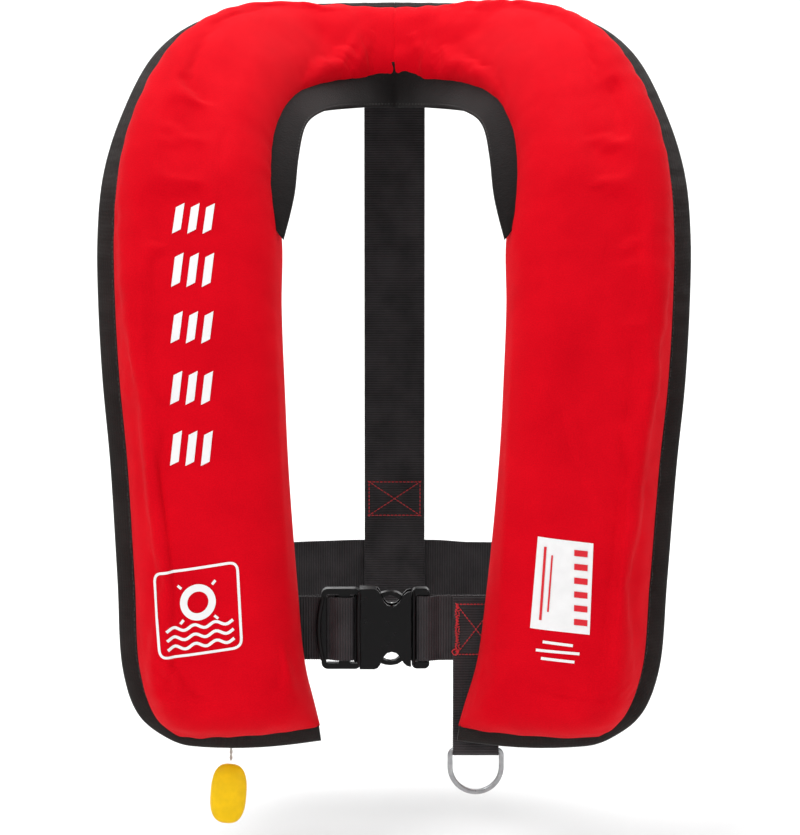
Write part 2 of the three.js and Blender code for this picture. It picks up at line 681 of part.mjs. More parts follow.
function cordGeometry() {
  const route = new THREE.CatmullRomCurve3(CORD_ROUTE.map((point) => new THREE.Vector3(...point)));
  const section = new THREE.Shape(arcPoints(0, 0, CORD_D / 2, 0, 2 * Math.PI, 8).slice(0, 8)
    .map(([a, b]) => new THREE.Vector2(a, b)));
  return new THREE.ExtrudeGeometry(section, { steps: 12, extrudePath: route, bevelEnabled: false });
}

function toggleGeometry() {
  const { width, height, thickness, bevel } = TOGGLE;
  const shape = roundedRect(-width / 2, -height, width / 2, 0, width * 0.44);
  const geometry = new THREE.ExtrudeGeometry(shape, {
    depth: thickness - 2 * bevel, curveSegments: 5, bevelEnabled: true, bevelThickness: bevel,
    bevelSize: bevel, bevelOffset: -bevel, bevelSegments: 2,
  });
  return fromManifold(toManifold(geometry)).rotateX(Math.PI / 2).rotateY(TOGGLE_TILT)
    .translate(TOGGLE_X, CORD_Y + thickness / 2 - bevel, TOGGLE_TOP_Z);
}

// ------------------------------------------------------------------------ the assembly

const bladderCloth = material(COLOURS.bladder, 0.6);
const blackCloth = material(COLOURS.black, 0.85);
const webbing = material(COLOURS.webbing, 0.7);
const blackPlastic = material(COLOURS.plastic, 0.3);
const steel = material(COLOURS.steel, 0.35, 0.9);
const thread = material(COLOURS.stitch, 0.7);

const exitSlot = box([CORD_X - 2.6, -215, -398], [CORD_X + 2.6, -200, CORD_TOP_Z + 12]);
const exitGroove = box([CORD_X - 2.6, CORD_Y - 1.5, -398], [CORD_X + 2.6, -200, -360]);

for (const { side, name } of SIDES) {
  const onRight = side < 0;
  add(`cover_${name}`, coverGeometry(side), material(COLOURS.red, 0.75));
  const [bindingExit, panelExit] = onRight ? [[exitGroove], [exitSlot]] : [[], []];
  add(`binding_${name}`, cut(bindingGeometry(side), ...bindingExit), blackCloth);
  add(`back_panel_${name}`, cut(panelGeometry(side), ...panelExit), blackCloth);
  add(`belt_keeper_${name}`, keeperGeometry(side), webbing);
  const room = onRight ? GAS_ROOM : AIR_ROOM;
  const lobe = cut(bladderGeometry(side, 0, LOBE_SHARE), box(room.low, room.high));
  add(`lobe_bladder_${name}`, lobe, bladderCloth);
  add(`collar_bladder_${name}`, bladderGeometry(side, LOBE_SHARE + 0.006, 1), bladderCloth);
}
add('neck_lining', liningGeometry(), material(COLOURS.lining, 0.9));

add('inflator_body', inflatorGeometry(), material(COLOURS.yellow, 0.45));
add('inflator_lever', leverGeometry(), blackPlastic);
add('firing_pin', pinGeometry(), steel);
add('gas_cylinder', cylinderGeometry(), steel);
add('mouth_tube', tubeGeometry(), blackPlastic);
add('mouth_tube_cap', capGeometry(), material(COLOURS.stitch, 0.4));
add('whistle', whistleGeometry(), material(COLOURS.yellow, 0.4));

add('waist_belt', beltGeometry(), webbing);
add('adjuster_webbing', adjusterGeometry(), webbing);
add('back_strap', strapGeometry(), webbing);
add('ring_webbing', ringWebbingGeometry(), webbing);
const strapFace = BELT_BACK_Y - STRAP_FOLD - WEBBING_T / 2;
const ringWebFace = BELT_FRONT_Y - RING_WEB_GAP - RING_WEB_T / 2;
add('strap_stitch', boxStitch(-17, STITCH_Z[0], 17, STITCH_Z[1], strapFace), thread);
add('ring_stitch', boxStitch(RING_X - 12, -330, RING_X + 12, -299, ringWebFace), thread);
add('harness_ring', ringGeometry(), steel);
add('buckle_socket', socketGeometry(), blackPlastic);
add('buckle_plug', plugGeometry(), blackPlastic);
add('pull_cord', cordGeometry(), material(COLOURS.cord, 0.8));
add('pull_toggle', toggleGeometry(), material(COLOURS.yellow, 0.4));

export default jacket;
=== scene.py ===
"""Looks of an inflatable life jacket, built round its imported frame.

Metres. +Z is up, the front of the jacket faces -Y and +X is the wearer's left. The origin is
the wearer's nape. Soft shells are worked out on the same curved sheet as the frame's, puffed
up as cloth and creased; straps are woven strips with raised ribs; seams are sewn stitch by
stitch; hard pieces are rounded moulded or bent shapes.
"""

import logging
import math
from dataclasses import dataclass
from enum import Enum
from typing import Callable, Iterable, Sequence

import bmesh
import bpy
import numpy as np
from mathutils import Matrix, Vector
from mathutils.bvhtree import BVHTree


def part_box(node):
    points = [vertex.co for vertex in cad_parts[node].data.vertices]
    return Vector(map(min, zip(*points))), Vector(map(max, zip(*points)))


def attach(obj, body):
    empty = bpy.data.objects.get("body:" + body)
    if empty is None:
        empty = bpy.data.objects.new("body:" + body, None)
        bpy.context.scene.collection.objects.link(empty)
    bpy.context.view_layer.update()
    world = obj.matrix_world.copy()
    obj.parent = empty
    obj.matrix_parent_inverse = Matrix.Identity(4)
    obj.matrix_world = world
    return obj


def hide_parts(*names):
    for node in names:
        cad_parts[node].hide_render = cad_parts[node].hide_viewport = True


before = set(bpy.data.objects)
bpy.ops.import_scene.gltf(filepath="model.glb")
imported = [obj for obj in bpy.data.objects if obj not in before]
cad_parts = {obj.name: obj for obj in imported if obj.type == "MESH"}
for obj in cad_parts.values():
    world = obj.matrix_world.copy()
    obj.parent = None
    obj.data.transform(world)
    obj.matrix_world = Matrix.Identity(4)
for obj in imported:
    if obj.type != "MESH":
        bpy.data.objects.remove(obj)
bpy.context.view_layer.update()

log = logging.getLogger("life_jacket")

Array = np.ndarray
Colour = tuple[float, float, float]
MM = 0.001


# ------------------------------------------------------------------------- shared geometry


def smoothstep(value: Array | float, low: float, high: float) -> Array:
    """A smooth rise from 0 at `low` to 1 at `high`."""
    share = np.clip((np.asarray(value, float) - low) / (high - low), 0, 1)
    return share * share * (3 - 2 * share)


def centripetal(points: Array, shares: Array) -> Array:
    """Walk the centripetal Catmull-Rom curve through some points.

    Args:
        points: The points it passes through, one a row.
        shares: Where to look, 0 at the first point and 1 at the last.

    Returns:
        A point for each share.
    """
    last = len(points) - 1
    held = np.vstack([2 * points[0] - points[1], points, 2 * points[-1] - points[-2]])
    place = np.clip(shares, 0, 1) * last
    i = np.minimum(place.astype(int), last - 1)
    w = (place - i)[..., None]
    p0, p1, p2, p3 = (held[i + k] for k in range(4))
    d01, d12, d23 = (
        np.linalg.norm(b - a, axis=-1, keepdims=True) ** 0.5
        for a, b in ((p0, p1), (p1, p2), (p2, p3))
    )
    m1 = ((p1 - p0) / d01 - (p2 - p0) / (d01 + d12) + (p2 - p1) / d12) * d12
    m2 = ((p2 - p1) / d12 - (p3 - p1) / (d12 + d23) + (p3 - p2) / d23) * d12
    return p1 + m1 * w + (3 * (p2 - p1) - 2 * m1 - m2) * w**2 + (2 * (p1 - p2) + m1 + m2) * w**3


def along(points: Array) -> Array:
    """The length of a polyline up to each of its points."""
    return np.r_[0, np.cumsum(np.linalg.norm(np.diff(points, axis=0), axis=1))]


def resampled(points: Array, step: float) -> Array:
    """The same polyline with its points an even `step` apart, or close to it."""
    length = along(points)
    stops = np.linspace(0, length[-1], max(2, round(length[-1] / step) + 1))
    return np.stack([np.interp(stops, length, points[:, k]) for k in range(3)], axis=1)


def softened(points: Array, passes: int) -> Array:
    """The polyline with its corners rounded, its two ends kept."""
    for _ in range(passes):
        middle = 0.25 * points[:-2] + 0.5 * points[1:-1] + 0.25 * points[2:]
        points = np.vstack([points[:1], middle, points[-1:]])
    return points


def unit(vectors: Array) -> Array:
    """Vectors of length one in the same directions."""
    return vectors / np.maximum(np.linalg.norm(vectors, axis=-1, keepdims=True), 1e-12)


def tangents(points: Array) -> Array:
    """The direction of a polyline at each of its points."""
    return unit(np.gradient(points, axis=0))


def refined(grid: Array, factor: int, axis: int) -> Array:
    """A grid of points with `factor` smooth steps for each of its own along one axis."""
    turned = np.moveaxis(grid, axis, 0)
    count = len(turned)
    held = np.concatenate([2 * turned[:1] - turned[1:2], turned, 2 * turned[-1:] - turned[-2:-1]])
    place = np.linspace(0, count - 1, (count - 1) * factor + 1)
    i = np.minimum(place.astype(int), count - 2)
    w = (place - i).reshape(-1, *([1] * (turned.ndim - 1)))
    p0, p1, p2, p3 = (held[i + k] for k in range(4))
    m1, m2 = (p2 - p0) / 2, (p3 - p1) / 2
    fine = p1 + m1 * w + (3 * (p2 - p1) - 2 * m1 - m2) * w**2 + (2 * (p1 - p2) + m1 + m2) * w**3
    return np.moveaxis(fine, 0, axis)


def grid_normals(grid: Array) -> Array:
    """The unit normal of a grid of points, at each point."""
    return unit(np.cross(np.gradient(grid, axis=1), np.gradient(grid, axis=0)))


def grid_faces(rows: int, columns: int, closed: bool = False) -> list[list[int]]:
    """Quads between the points of a grid kept row after row.

    Args:
        rows: How many rows of points.
        columns: How many points in a row.
        closed: Whether each row joins up into a ring.

    Returns:
        The corners of each quad.
    """
    i = np.arange(rows - 1)[:, None]
    j = np.arange(columns if closed else columns - 1)[None, :]
    a, b = i * columns + j, i * columns + (j + 1) % columns
    return np.stack([a, b, b + columns, a + columns], -1).reshape(-1, 4).tolist()


def make_mesh(
    name: str,
    points: Array,
    faces: list[list[int]],
    material: bpy.types.Material,
    uv: Array | None = None,
    outward: bool = False,
) -> bpy.types.Object:
    """Make a smooth-shaded mesh object at the origin.

    Args:
        name: The object's name.
        points: Its vertices, in any grid shape.
        faces: The corners of each face.
        material: Its finish.
        uv: A pair of metres for each vertex, where its pattern follows the surface.
        outward: Whether to turn a closed shape's faces outwards.

    Returns:
        The new object, linked to the scene.
    """
    mesh = bpy.data.meshes.new(name)
    mesh.from_pydata(points.reshape(-1, 3).tolist(), [], faces)
    if uv is not None:
        corners = np.empty(len(mesh.loops), np.int32)
        mesh.loops.foreach_get("vertex_index", corners)
        mesh.uv_layers.new(name="weave").data.foreach_set("uv", uv.reshape(-1, 2)[corners].ravel())
    mesh.polygons.foreach_set("use_smooth", [True] * len(mesh.polygons))
    mesh.materials.append(material)
    obj = bpy.data.objects.new(name, mesh)
    bpy.context.scene.collection.objects.link(obj)
    if outward:
        turn_outwards(obj)
    return obj


def turn_outwards(obj: bpy.types.Object) -> None:
    """Point a closed mesh's faces outwards."""
    shape = bmesh.new()
    shape.from_mesh(obj.data)
    bmesh.ops.recalc_face_normals(shape, faces=shape.faces)
    shape.to_mesh(obj.data)
    shape.free()


def tube(
    name: str, rings: Array, material: bpy.types.Material, uv: Array | None = None,
    closed: bool = False,
) -> bpy.types.Object:
    """Make a solid from a row of rings of points, capped at its ends unless it is a loop."""
    count, sides = rings.shape[:2]
    if closed:
        around = grid_faces(count + 1, sides, closed=True)
        faces = [[corner % (count * sides) for corner in face] for face in around]
    else:
        faces = grid_faces(count, sides, closed=True)
        faces += [list(range(sides))[::-1], list(range((count - 1) * sides, count * sides))]
    return make_mesh(name, rings, faces, material, uv, outward=True)


def round_rings(path: Array, radius: Array | float, sides: int, start: Vector) -> Array:
    """Rings of points round a path, none of them twisted about it.

    Args:
        path: The middle line.
        radius: The rings' radius, or one for each point of the path.
        sides: How many points in a ring.
        start: A direction square to the path, where each ring starts.

    Returns:
        The rings, one a row.
    """
    forward = tangents(path)
    across = unit(np.array(start) - forward * (forward @ np.array(start))[:, None])
    upward = np.cross(forward, across)
    angle = np.linspace(0, 2 * math.pi, sides, endpoint=False)
    circle = (np.cos(angle)[None, :, None] * across[:, None]
              + np.sin(angle)[None, :, None] * upward[:, None])
    return path[:, None] + circle * np.broadcast_to(radius, len(path))[:, None, None]


def ripple(place: Array, length: float, seed: int) -> Array:
    """An uneven wave between -1 and 1 that repeats about once in `length`."""
    rng = np.random.default_rng(seed)
    waves = [
        np.sin(2 * math.pi * place / (length * rng.uniform(0.6, 1.9)) + rng.uniform(0, 2 * math.pi))
        for _ in range(5)
    ]
    return sum(waves) / len(waves) * 1.6


# ----------------------------------------------------------------------------- finishes


class Shader:
    """A material's node tree, built up from its surface shader."""

    def __init__(self, name: str) -> None:
        """Start a material with nothing but its surface."""
        self.material = bpy.data.materials.new(name)
        self.material.use_nodes = True
        self.tree = self.material.node_tree
        self.surface = self.tree.nodes["Principled BSDF"]

    def add(
        self, kind: str, inputs: dict[str | int, object], **settings: object
    ) -> bpy.types.Node:
        """Add a node, with each input joined to a socket or set to a value."""
        node = self.tree.nodes.new(kind)
        for setting, value in settings.items():
            setattr(node, setting, value)
        for socket, value in inputs.items():
            if isinstance(value, bpy.types.NodeSocket):
                self.tree.links.new(value, node.inputs[socket])
            else:
                node.inputs[socket].default_value = value
        return node

    def maths(self, operation: str, *values: object) -> bpy.types.NodeSocket:
        """A sum on up to three numbers or sockets."""
        node = self.add("ShaderNodeMath", dict(enumerate(values)), operation=operation)
        return node.outputs[0]

    def place(self, on_weave: bool) -> bpy.types.NodeSocket:
        """Where the shader is: on the piece's own weave, or on the object."""
        if on_weave:
            return self.add("ShaderNodeUVMap", {}, uv_map="weave").outputs["UV"]
        return self.add("ShaderNodeTexCoord", {}).outputs["Object"]

    def noise(
        self, where: bpy.types.NodeSocket, size: float, detail: float = 3.0,
        stretch: Sequence[float] = (1, 1, 1),
    ) -> bpy.types.NodeSocket:
        """Noise from 0 to 1 whose blotches are about `size` metres across."""
        mapped = self.add("ShaderNodeMapping", {"Vector": where, "Scale": stretch})
        texture = self.add("ShaderNodeTexNoise", {
            "Vector": mapped.outputs[0], "Scale": 1 / size, "Detail": detail, "Roughness": 0.55,
        })
        return texture.outputs[0]

    def wave(self, coordinate: bpy.types.NodeSocket, pitch: float) -> bpy.types.NodeSocket:
        """A sine from -1 to 1 that repeats every `pitch` metres."""
        return self.maths("SINE", self.maths("MULTIPLY", coordinate, 2 * math.pi / pitch))

    def axes(self, where: bpy.types.NodeSocket) -> list[bpy.types.NodeSocket]:
        """The three numbers of a place."""
        return list(self.add("ShaderNodeSeparateXYZ", {0: where}).outputs)

    def spread(
        self, share: bpy.types.NodeSocket, low: float, high: float
    ) -> bpy.types.NodeSocket:
        """A number from `low` to `high` as a share goes from 0.3 to 0.7."""
        return self.add("ShaderNodeMapRange", {
            "Value": share, "From Min": 0.3, "From Max": 0.7, "To Min": low, "To Max": high,
        }).outputs[0]

    def blend(
        self, share: bpy.types.NodeSocket, first: Colour, second: Colour
    ) -> bpy.types.NodeSocket:
        """One colour at 0 and another at 1."""
        node = self.tree.nodes.new("ShaderNodeMix")
        node.data_type = "RGBA"
        self.tree.links.new(share, node.inputs[0])
        node.inputs[6].default_value = (*first, 1)
        node.inputs[7].default_value = (*second, 1)
        return node.outputs[2]

    def relief(
        self, heights: Iterable[tuple[bpy.types.NodeSocket, float]]
    ) -> bpy.types.NodeSocket:
        """Bumps of several heights, each with its depth in metres, one over another."""
        normal = None
        for height, depth in heights:
            inputs = {"Height": height, "Distance": depth, "Strength": 1.0}
            if normal is not None:
                inputs["Normal"] = normal
            normal = self.add("ShaderNodeBump", inputs).outputs[0]
        return normal

    def finish(self, **inputs: object) -> bpy.types.Material:
        """Set or join the surface's own sockets, and hand the material over."""
        for socket, value in inputs.items():
            target = self.surface.inputs[socket.replace("_", " ").title().replace("Ior", "IOR")]
            if isinstance(value, bpy.types.NodeSocket):
                self.tree.links.new(value, target)
            else:
                target.default_value = value
        return self.material


def darker(colour: Colour, share: float) -> Colour:
    """A colour with each part multiplied by a share."""
    return tuple(part * share for part in colour)


@dataclass(frozen=True)
class WovenCloth:
    """A tight plain weave with a faint sheen, such as a cover's."""

    name: str
    colour: Colour
    thread_pitch: float = 0.8 * MM
    thread_depth: float = 0.05 * MM
    shade: float = 0.76
    roughness: float = 0.8
    sheen: float = 0.02
    gloss: float = 0.05

    def material(self) -> bpy.types.Material:
        """The cloth, with its threads, a mottled dye and rubbed patches."""
        shader = Shader(self.name)
        where = shader.place(on_weave=True)
        u, v, _ = shader.axes(where)
        weave = shader.maths(
            "MULTIPLY", shader.wave(u, self.thread_pitch), shader.wave(v, self.thread_pitch))
        mottle = shader.noise(where, 0.035)
        grain = shader.noise(where, 0.9 * MM, 2.0)
        tone = shader.maths(
            "ADD", shader.spread(mottle, 0.0, 0.45), shader.spread(grain, 0.0, 0.55))
        return shader.finish(
            base_color=shader.blend(tone, darker(self.colour, self.shade), self.colour),
            roughness=shader.spread(mottle, self.roughness + 0.06, self.roughness - 0.06),
            sheen_weight=self.sheen, sheen_roughness=0.4, specular_ior_level=self.gloss,
            normal=shader.relief([(weave, self.thread_depth), (grain, 0.05 * MM)]))


@dataclass(frozen=True)
class RibbedTape:
    """Edge tape or webbing: fine cords across it, and columns of yarn along it."""

    name: str
    colour: Colour
    cord_pitch: float
    yarn_pitch: float
    cord_depth: float = 0.08 * MM
    roughness: float = 0.6
    sheen: float = 0.1
    # How much lighter the cord tops and patches are painted: painted highlight and painted sheen
    wear_and_painted_sheen: float = 1.5

    def material(self) -> bpy.types.Material:
        """The tape, its cords painted lighter on top as a painted highlight, and patches along it
        of uneven dye and painted sheen.
        """
        shader = Shader(self.name)
        where = shader.place(on_weave=True)
        u, v, _ = shader.axes(where)
        cords = shader.wave(u, self.cord_pitch)
        yarns = shader.wave(v, self.yarn_pitch)
        fuzz = shader.noise(where, 0.7 * MM, 2.0)
        # Patches of uneven dye that also stand for painted sheen; the cords' crests are painted
        # lighter as a highlight
        patches = shader.noise(where, 0.02)
        top = shader.maths("MULTIPLY_ADD", cords, 0.25, shader.spread(patches, 0.2, 0.65))
        return shader.finish(
            base_color=shader.blend(
                top, darker(self.colour, 0.55), darker(self.colour, self.wear_and_painted_sheen)),
            roughness=shader.spread(patches, self.roughness + 0.08, self.roughness - 0.08),
            sheen_weight=self.sheen, sheen_roughness=0.35, specular_ior_level=0.22,
            normal=shader.relief([
                (cords, self.cord_depth), (yarns, 0.05 * MM), (fuzz, 0.12 * MM)]))


@dataclass(frozen=True)
class KnitFoam:
    """A matt brushed knit over foam, as on a neck band."""

    name: str
    colour: Colour

    def material(self) -> bpy.types.Material:
        """The knit, with its loops and a soft nap."""
        shader = Shader(self.name)
        where = shader.place(on_weave=False)
        loops = shader.add("ShaderNodeTexVoronoi", {"Vector": where, "Scale": 1 / (1.1 * MM)})
        nap = shader.noise(where, 5 * MM)
        tone = shader.spread(nap, 0.1, 0.9)
        return shader.finish(
            base_color=shader.blend(tone, darker(self.colour, 0.7), darker(self.colour, 1.35)),
            roughness=0.92, sheen_weight=0.08, sheen_roughness=0.6, specular_ior_level=0.15,
            normal=shader.relief([(loops.outputs[0], 0.2 * MM), (nap, 0.15 * MM)]))


@dataclass(frozen=True)
class MouldedPlastic:
    """Injection-moulded plastic with a fine spark-eroded skin and handling marks."""

    name: str
    colour: Colour
    roughness: float = 0.32
    gloss: float = 0.4
    skin_depth: float = 0.02 * MM

    def material(self) -> bpy.types.Material:
        """The plastic, duller where it has been handled."""
        shader = Shader(self.name)
        where = shader.place(on_weave=False)
        skin = shader.noise(where, 0.5 * MM, 2.0)
        marks = shader.noise(where, 7 * MM, 4.0)
        return shader.finish(
            base_color=shader.blend(
                shader.spread(marks, 0.0, 1.0), darker(self.colour, 0.88), self.colour),
            roughness=shader.spread(marks, self.roughness - 0.06, self.roughness + 0.1),
            specular_ior_level=self.gloss,
            normal=shader.relief([(skin, self.skin_depth), (marks, 0.05 * MM)]))


@dataclass(frozen=True)
class SatinSteel:
    """Stainless steel brushed along its length."""

    name: str
    colour: Colour
    roughness: float = 0.34

    def material(self) -> bpy.types.Material:
        """The steel, with fine brushed lines and dull patches."""
        shader = Shader(self.name)
        where = shader.place(on_weave=False)
        lines = shader.noise(where, 0.6 * MM, 2.0, stretch=(1, 1, 0.12))
        patches = shader.noise(where, 4 * MM)
        return shader.finish(
            base_color=shader.blend(
                shader.spread(patches, 0.0, 1.0), darker(self.colour, 0.75), self.colour),
            metallic=1.0,
            roughness=shader.spread(lines, self.roughness - 0.08, self.roughness + 0.12),
            normal=shader.relief([(lines, 0.03 * MM)]))


@dataclass(frozen=True)
class PrintedInk:
    """Screen-printed ink that lets the weave under it show."""

    name: str
    colour: Colour

    def material(self) -> bpy.types.Material:
        """The ink, slightly worn and with the cloth's grain in it."""
        shader = Shader(self.name)
        where = shader.place(on_weave=False)
        grain = shader.noise(where, 0.8 * MM, 2.0)
        wear_and_painted_sheen = shader.noise(where, 9 * MM)
        return shader.finish(
            base_color=shader.blend(
                shader.spread(wear_and_painted_sheen, 0.4, 1.0), darker(self.colour, 0.9), self.colour),
            roughness=0.55, specular_ior_level=0.3, normal=shader.relief([(grain, 0.06 * MM)]))


@dataclass(frozen=True)
class TwistedThread:
    """Sewing thread or thin cord of twisted yarn."""

    name: str
    colour: Colour

    def material(self) -> bpy.types.Material:
        """The yarn, fuzzy and a little uneven in its dye."""
        shader = Shader(self.name)
        where = shader.place(on_weave=False)
        fuzz = shader.noise(where, 0.35 * MM, 2.0)
        dye = shader.noise(where, 6 * MM)
        return shader.finish(
            base_color=shader.blend(
                shader.spread(dye, 0.0, 1.0), darker(self.colour, 0.7), self.colour),
            roughness=0.7, sheen_weight=0.3, sheen_roughness=0.4,
            normal=shader.relief([(fuzz, 0.08 * MM)]))


@dataclass(frozen=True)
class CoatedNylon:
    """Airtight coated nylon with a ripstop grid in it."""

    name: str
    colour: Colour
    grid_pitch: float = 5 * MM

    def material(self) -> bpy.types.Material:
        """The nylon, with its raised grid and a slight crumple."""
        shader = Shader(self.name)
        where = shader.place(on_weave=False)
        x, _, z = shader.axes(where)
        grid = shader.maths(
            "MAXIMUM", shader.wave(x, self.grid_pitch), shader.wave(z, self.grid_pitch))
        raised = shader.maths("POWER", shader.maths("MAXIMUM", grid, 0.0), 24.0)
        crumple = shader.noise(where, 0.02, 4.0)
        return shader.finish(
            base_color=shader.blend(
                shader.spread(crumple, 0.0, 1.0), darker(self.colour, 0.8), self.colour),
            roughness=shader.spread(crumple, 0.38, 0.5),
            normal=shader.relief([(raised, 0.12 * MM), (crumple, 1.5 * MM)]))


class Slot(Enum):
    """The record's material slots."""

    RED_CLOTH = "red_cloth"
    BLACK_CLOTH = "black_cloth"
    LINING = "lining"
    WEBBING = "webbing"
    BLADDER = "bladder"
    BLACK_PLASTIC = "black_plastic"
    YELLOW_PLASTIC = "yellow_plastic"
    RED_PLASTIC = "red_plastic"
    STEEL = "steel"
    THREAD = "thread"
    CORD = "cord"


FINISHES = {
    Slot.RED_CLOTH: WovenCloth("red cover cloth", (0.76, 0.0008, 0.010)),
    # Both ribbed tapes paint their cord tops and patches lighter as painted highlight and sheen,
    # the webbing much more
    Slot.BLACK_CLOTH: RibbedTape("black edge tape", (0.013, 0.010, 0.009), 0.9 * MM, 1.4 * MM),
    Slot.LINING: KnitFoam("neck band knit", (0.0045, 0.0032, 0.0032)),
    Slot.WEBBING: RibbedTape(
        "ribbed webbing", (0.014, 0.012, 0.013), 1.6 * MM, 0.9 * MM, cord_depth=0.1 * MM,
        roughness=0.45, wear_and_painted_sheen=3.4),
    Slot.BLADDER: CoatedNylon("bladder nylon", (0.86, 0.45, 0.01)),
    Slot.BLACK_PLASTIC: MouldedPlastic("black acetal", (0.0022, 0.0022, 0.0026), gloss=0.16),
    Slot.YELLOW_PLASTIC: MouldedPlastic("yellow plastic", (0.95, 0.6, 0.0006), 0.4, gloss=0.2),
    Slot.RED_PLASTIC: MouldedPlastic("red plastic", (0.6, 0.01, 0.02), 0.36),
    Slot.STEEL: SatinSteel("satin steel", (0.42, 0.43, 0.44)),
    Slot.THREAD: TwistedThread("red thread", (0.65, 0.01, 0.02)),
    Slot.CORD: TwistedThread("pull cord yarn", (0.7, 0.67, 0.6)),
}
BLACK_THREAD = TwistedThread("black thread", (0.03, 0.027, 0.025))
WHITE_INK = PrintedInk("white ink", (0.9, 0.9, 0.9))
RED_INK = PrintedInk("red ink", (0.72, 0.012, 0.025))
BACKING_CLOTH = WovenCloth(
    "black backing cloth", (0.016, 0.014, 0.013), thread_pitch=1.1 * MM, sheen=0.1)


class Wardrobe:
    """Makes each finish's material once, and hands it out."""

    def __init__(self) -> None:
        """Start with nothing made."""
        self.made: dict[str, bpy.types.Material] = {}

    def cut(self, finish: object) -> bpy.types.Material:
        """The material of a finish."""
        if finish.name not in self.made:
            self.made[finish.name] = finish.material()
        return self.made[finish.name]

    def of(self, slot: Slot) -> bpy.types.Material:
        """The material of one of the record's slots."""
        return self.cut(FINISHES[slot])


WARDROBE = Wardrobe()


def settle(
    obj: bpy.types.Object, body: str, replaces: Sequence[str] = ()
) -> bpy.types.Object:
    """Let a finished piece ride on its body.

    Args:
        obj: The piece, in place.
        body: The body it moves with.
        replaces: The frame's nodes that it stands for.

    Returns:
        The same piece.
    """
    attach(obj, body)
    if replaces:
        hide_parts(*replaces)
    log.info("%-24s rides on %-10s %6d faces", obj.name, body, len(obj.data.polygons))
    return obj


# ------------------------------------------------------------------ geometry node trees


class NodeTool:
    """A geometry node tree with named inputs, applied to a mesh and then taken off."""

    inputs: dict[str, tuple[str, object]] = {}

    def __init__(self, name: str) -> None:
        """Build the tree."""
        self.tree = bpy.data.node_groups.new(name, "GeometryNodeTree")
        face = self.tree.interface
        face.new_socket("Geometry", in_out="INPUT", socket_type="NodeSocketGeometry")
        face.new_socket("Geometry", in_out="OUTPUT", socket_type="NodeSocketGeometry")
        for label, (kind, value) in self.inputs.items():
            socket = face.new_socket(label, in_out="INPUT", socket_type=kind)
            if value is not None:
                socket.default_value = value
        self.entry = self.tree.nodes.new("NodeGroupInput")
        self.exit = self.tree.nodes.new("NodeGroupOutput")
        self.build()

    def build(self) -> None:
        """Join the nodes between the entry and the exit."""
        raise NotImplementedError

    def add(
        self, kind: str, inputs: dict[str | int, object] | None = None, **settings: object
    ) -> bpy.types.Node:
        """Add a node, with each input joined to a socket or set to a value."""
        node = self.tree.nodes.new(kind)
        for setting, value in settings.items():
            setattr(node, setting, value)
        for socket, value in (inputs or {}).items():
            if isinstance(value, bpy.types.NodeSocket):
                self.tree.links.new(value, node.inputs[socket])
            else:
                node.inputs[socket].default_value = value
        return node

    def end_with(self, geometry: bpy.types.NodeSocket) -> None:
        """Realize the instances, set the material and leave the tree."""
        real = self.add("GeometryNodeRealizeInstances", {"Geometry": geometry})
        dressed = self.add("GeometryNodeSetMaterial", {
            "Geometry": real.outputs[0], "Material": self.entry.outputs["Material"]})
        self.tree.links.new(dressed.outputs[0], self.exit.inputs[0])

    def run(self, obj: bpy.types.Object, values: dict[str, object]) -> bpy.types.Object:
        """Turn an object into what the tree makes of it.

        Args:
            obj: The object whose mesh the tree starts from. Its mesh is replaced.
            values: A value for each named input that isn't left as it is.

        Returns:
            The same object, with the new mesh and no modifier.
        """
        modifier = obj.modifiers.new(self.tree.name, "NODES")
        modifier.node_group = self.tree
        for item in self.tree.interface.items_tree:
            if item.in_out == "INPUT" and item.name in values:
                modifier[item.identifier] = values[item.name]
        graph = bpy.context.evaluated_depsgraph_get()
        mesh = bpy.data.meshes.new_from_object(obj.evaluated_get(graph), depsgraph=graph)
        obj.modifiers.remove(modifier)
        obj.data = mesh
        mesh.name = obj.name
        return obj


class SewingTool(NodeTool):
    """Lays short rounded stitches end to end along the edges of a mesh."""

    inputs = {
        "Pitch": ("NodeSocketFloat", 3 * MM),
        "Stitch length": ("NodeSocketFloat", 2.4 * MM),
        "Thread diameter": ("NodeSocketFloat", 0.6 * MM),
        "Material": ("NodeSocketMaterial", None),
    }

    def build(self) -> None:
        """Curve, points along it, a stitch at each."""
        given = self.entry.outputs
        curve = self.add("GeometryNodeMeshToCurve", {0: given["Geometry"]})
        points = self.add("GeometryNodeCurveToPoints", {
            "Curve": curve.outputs[0], "Length": given["Pitch"]}, mode="LENGTH")
        bead = self.add("GeometryNodeMeshUVSphere", {"Segments": 6, "Rings": 5, "Radius": 0.5})
        size = self.add("ShaderNodeCombineXYZ", {
            0: given["Stitch length"], 1: given["Thread diameter"], 2: given["Thread diameter"]})
        turned = self.add("FunctionNodeAlignRotationToVector", {
            "Vector": points.outputs["Tangent"]}, axis="X")
        stitches = self.add("GeometryNodeInstanceOnPoints", {
            "Points": points.outputs["Points"], "Instance": bead.outputs["Mesh"],
            "Rotation": turned.outputs[0], "Scale": size.outputs[0]})
        smooth = self.add("GeometryNodeSetShadeSmooth", {0: stitches.outputs[0]})
        self.end_with(smooth.outputs[0])

    def sew(
        self, name: str, rows: Sequence[Array], material: bpy.types.Material,
        pitch: float, length: float, diameter: float,
    ) -> bpy.types.Object:
        """Sew rows of stitches.

        Args:
            name: The name of the new piece.
            rows: The polylines to sew along.
            material: The thread.
            pitch: From one stitch to the next.
            length: Of a stitch.
            diameter: Of the thread.

        Returns:
            All the stitches, as one piece.
        """
        mesh = bpy.data.meshes.new(name)
        starts = np.cumsum([0] + [len(row) for row in rows])
        edges = [
            (start + k, start + k + 1)
            for start, row in zip(starts, rows) for k in range(len(row) - 1)
        ]
        mesh.from_pydata(np.vstack(rows).tolist(), edges, [])
        obj = bpy.data.objects.new(name, mesh)
        bpy.context.scene.collection.objects.link(obj)
        return self.run(obj, {
            "Pitch": pitch, "Stitch length": length, "Thread diameter": diameter,
            "Material": material})


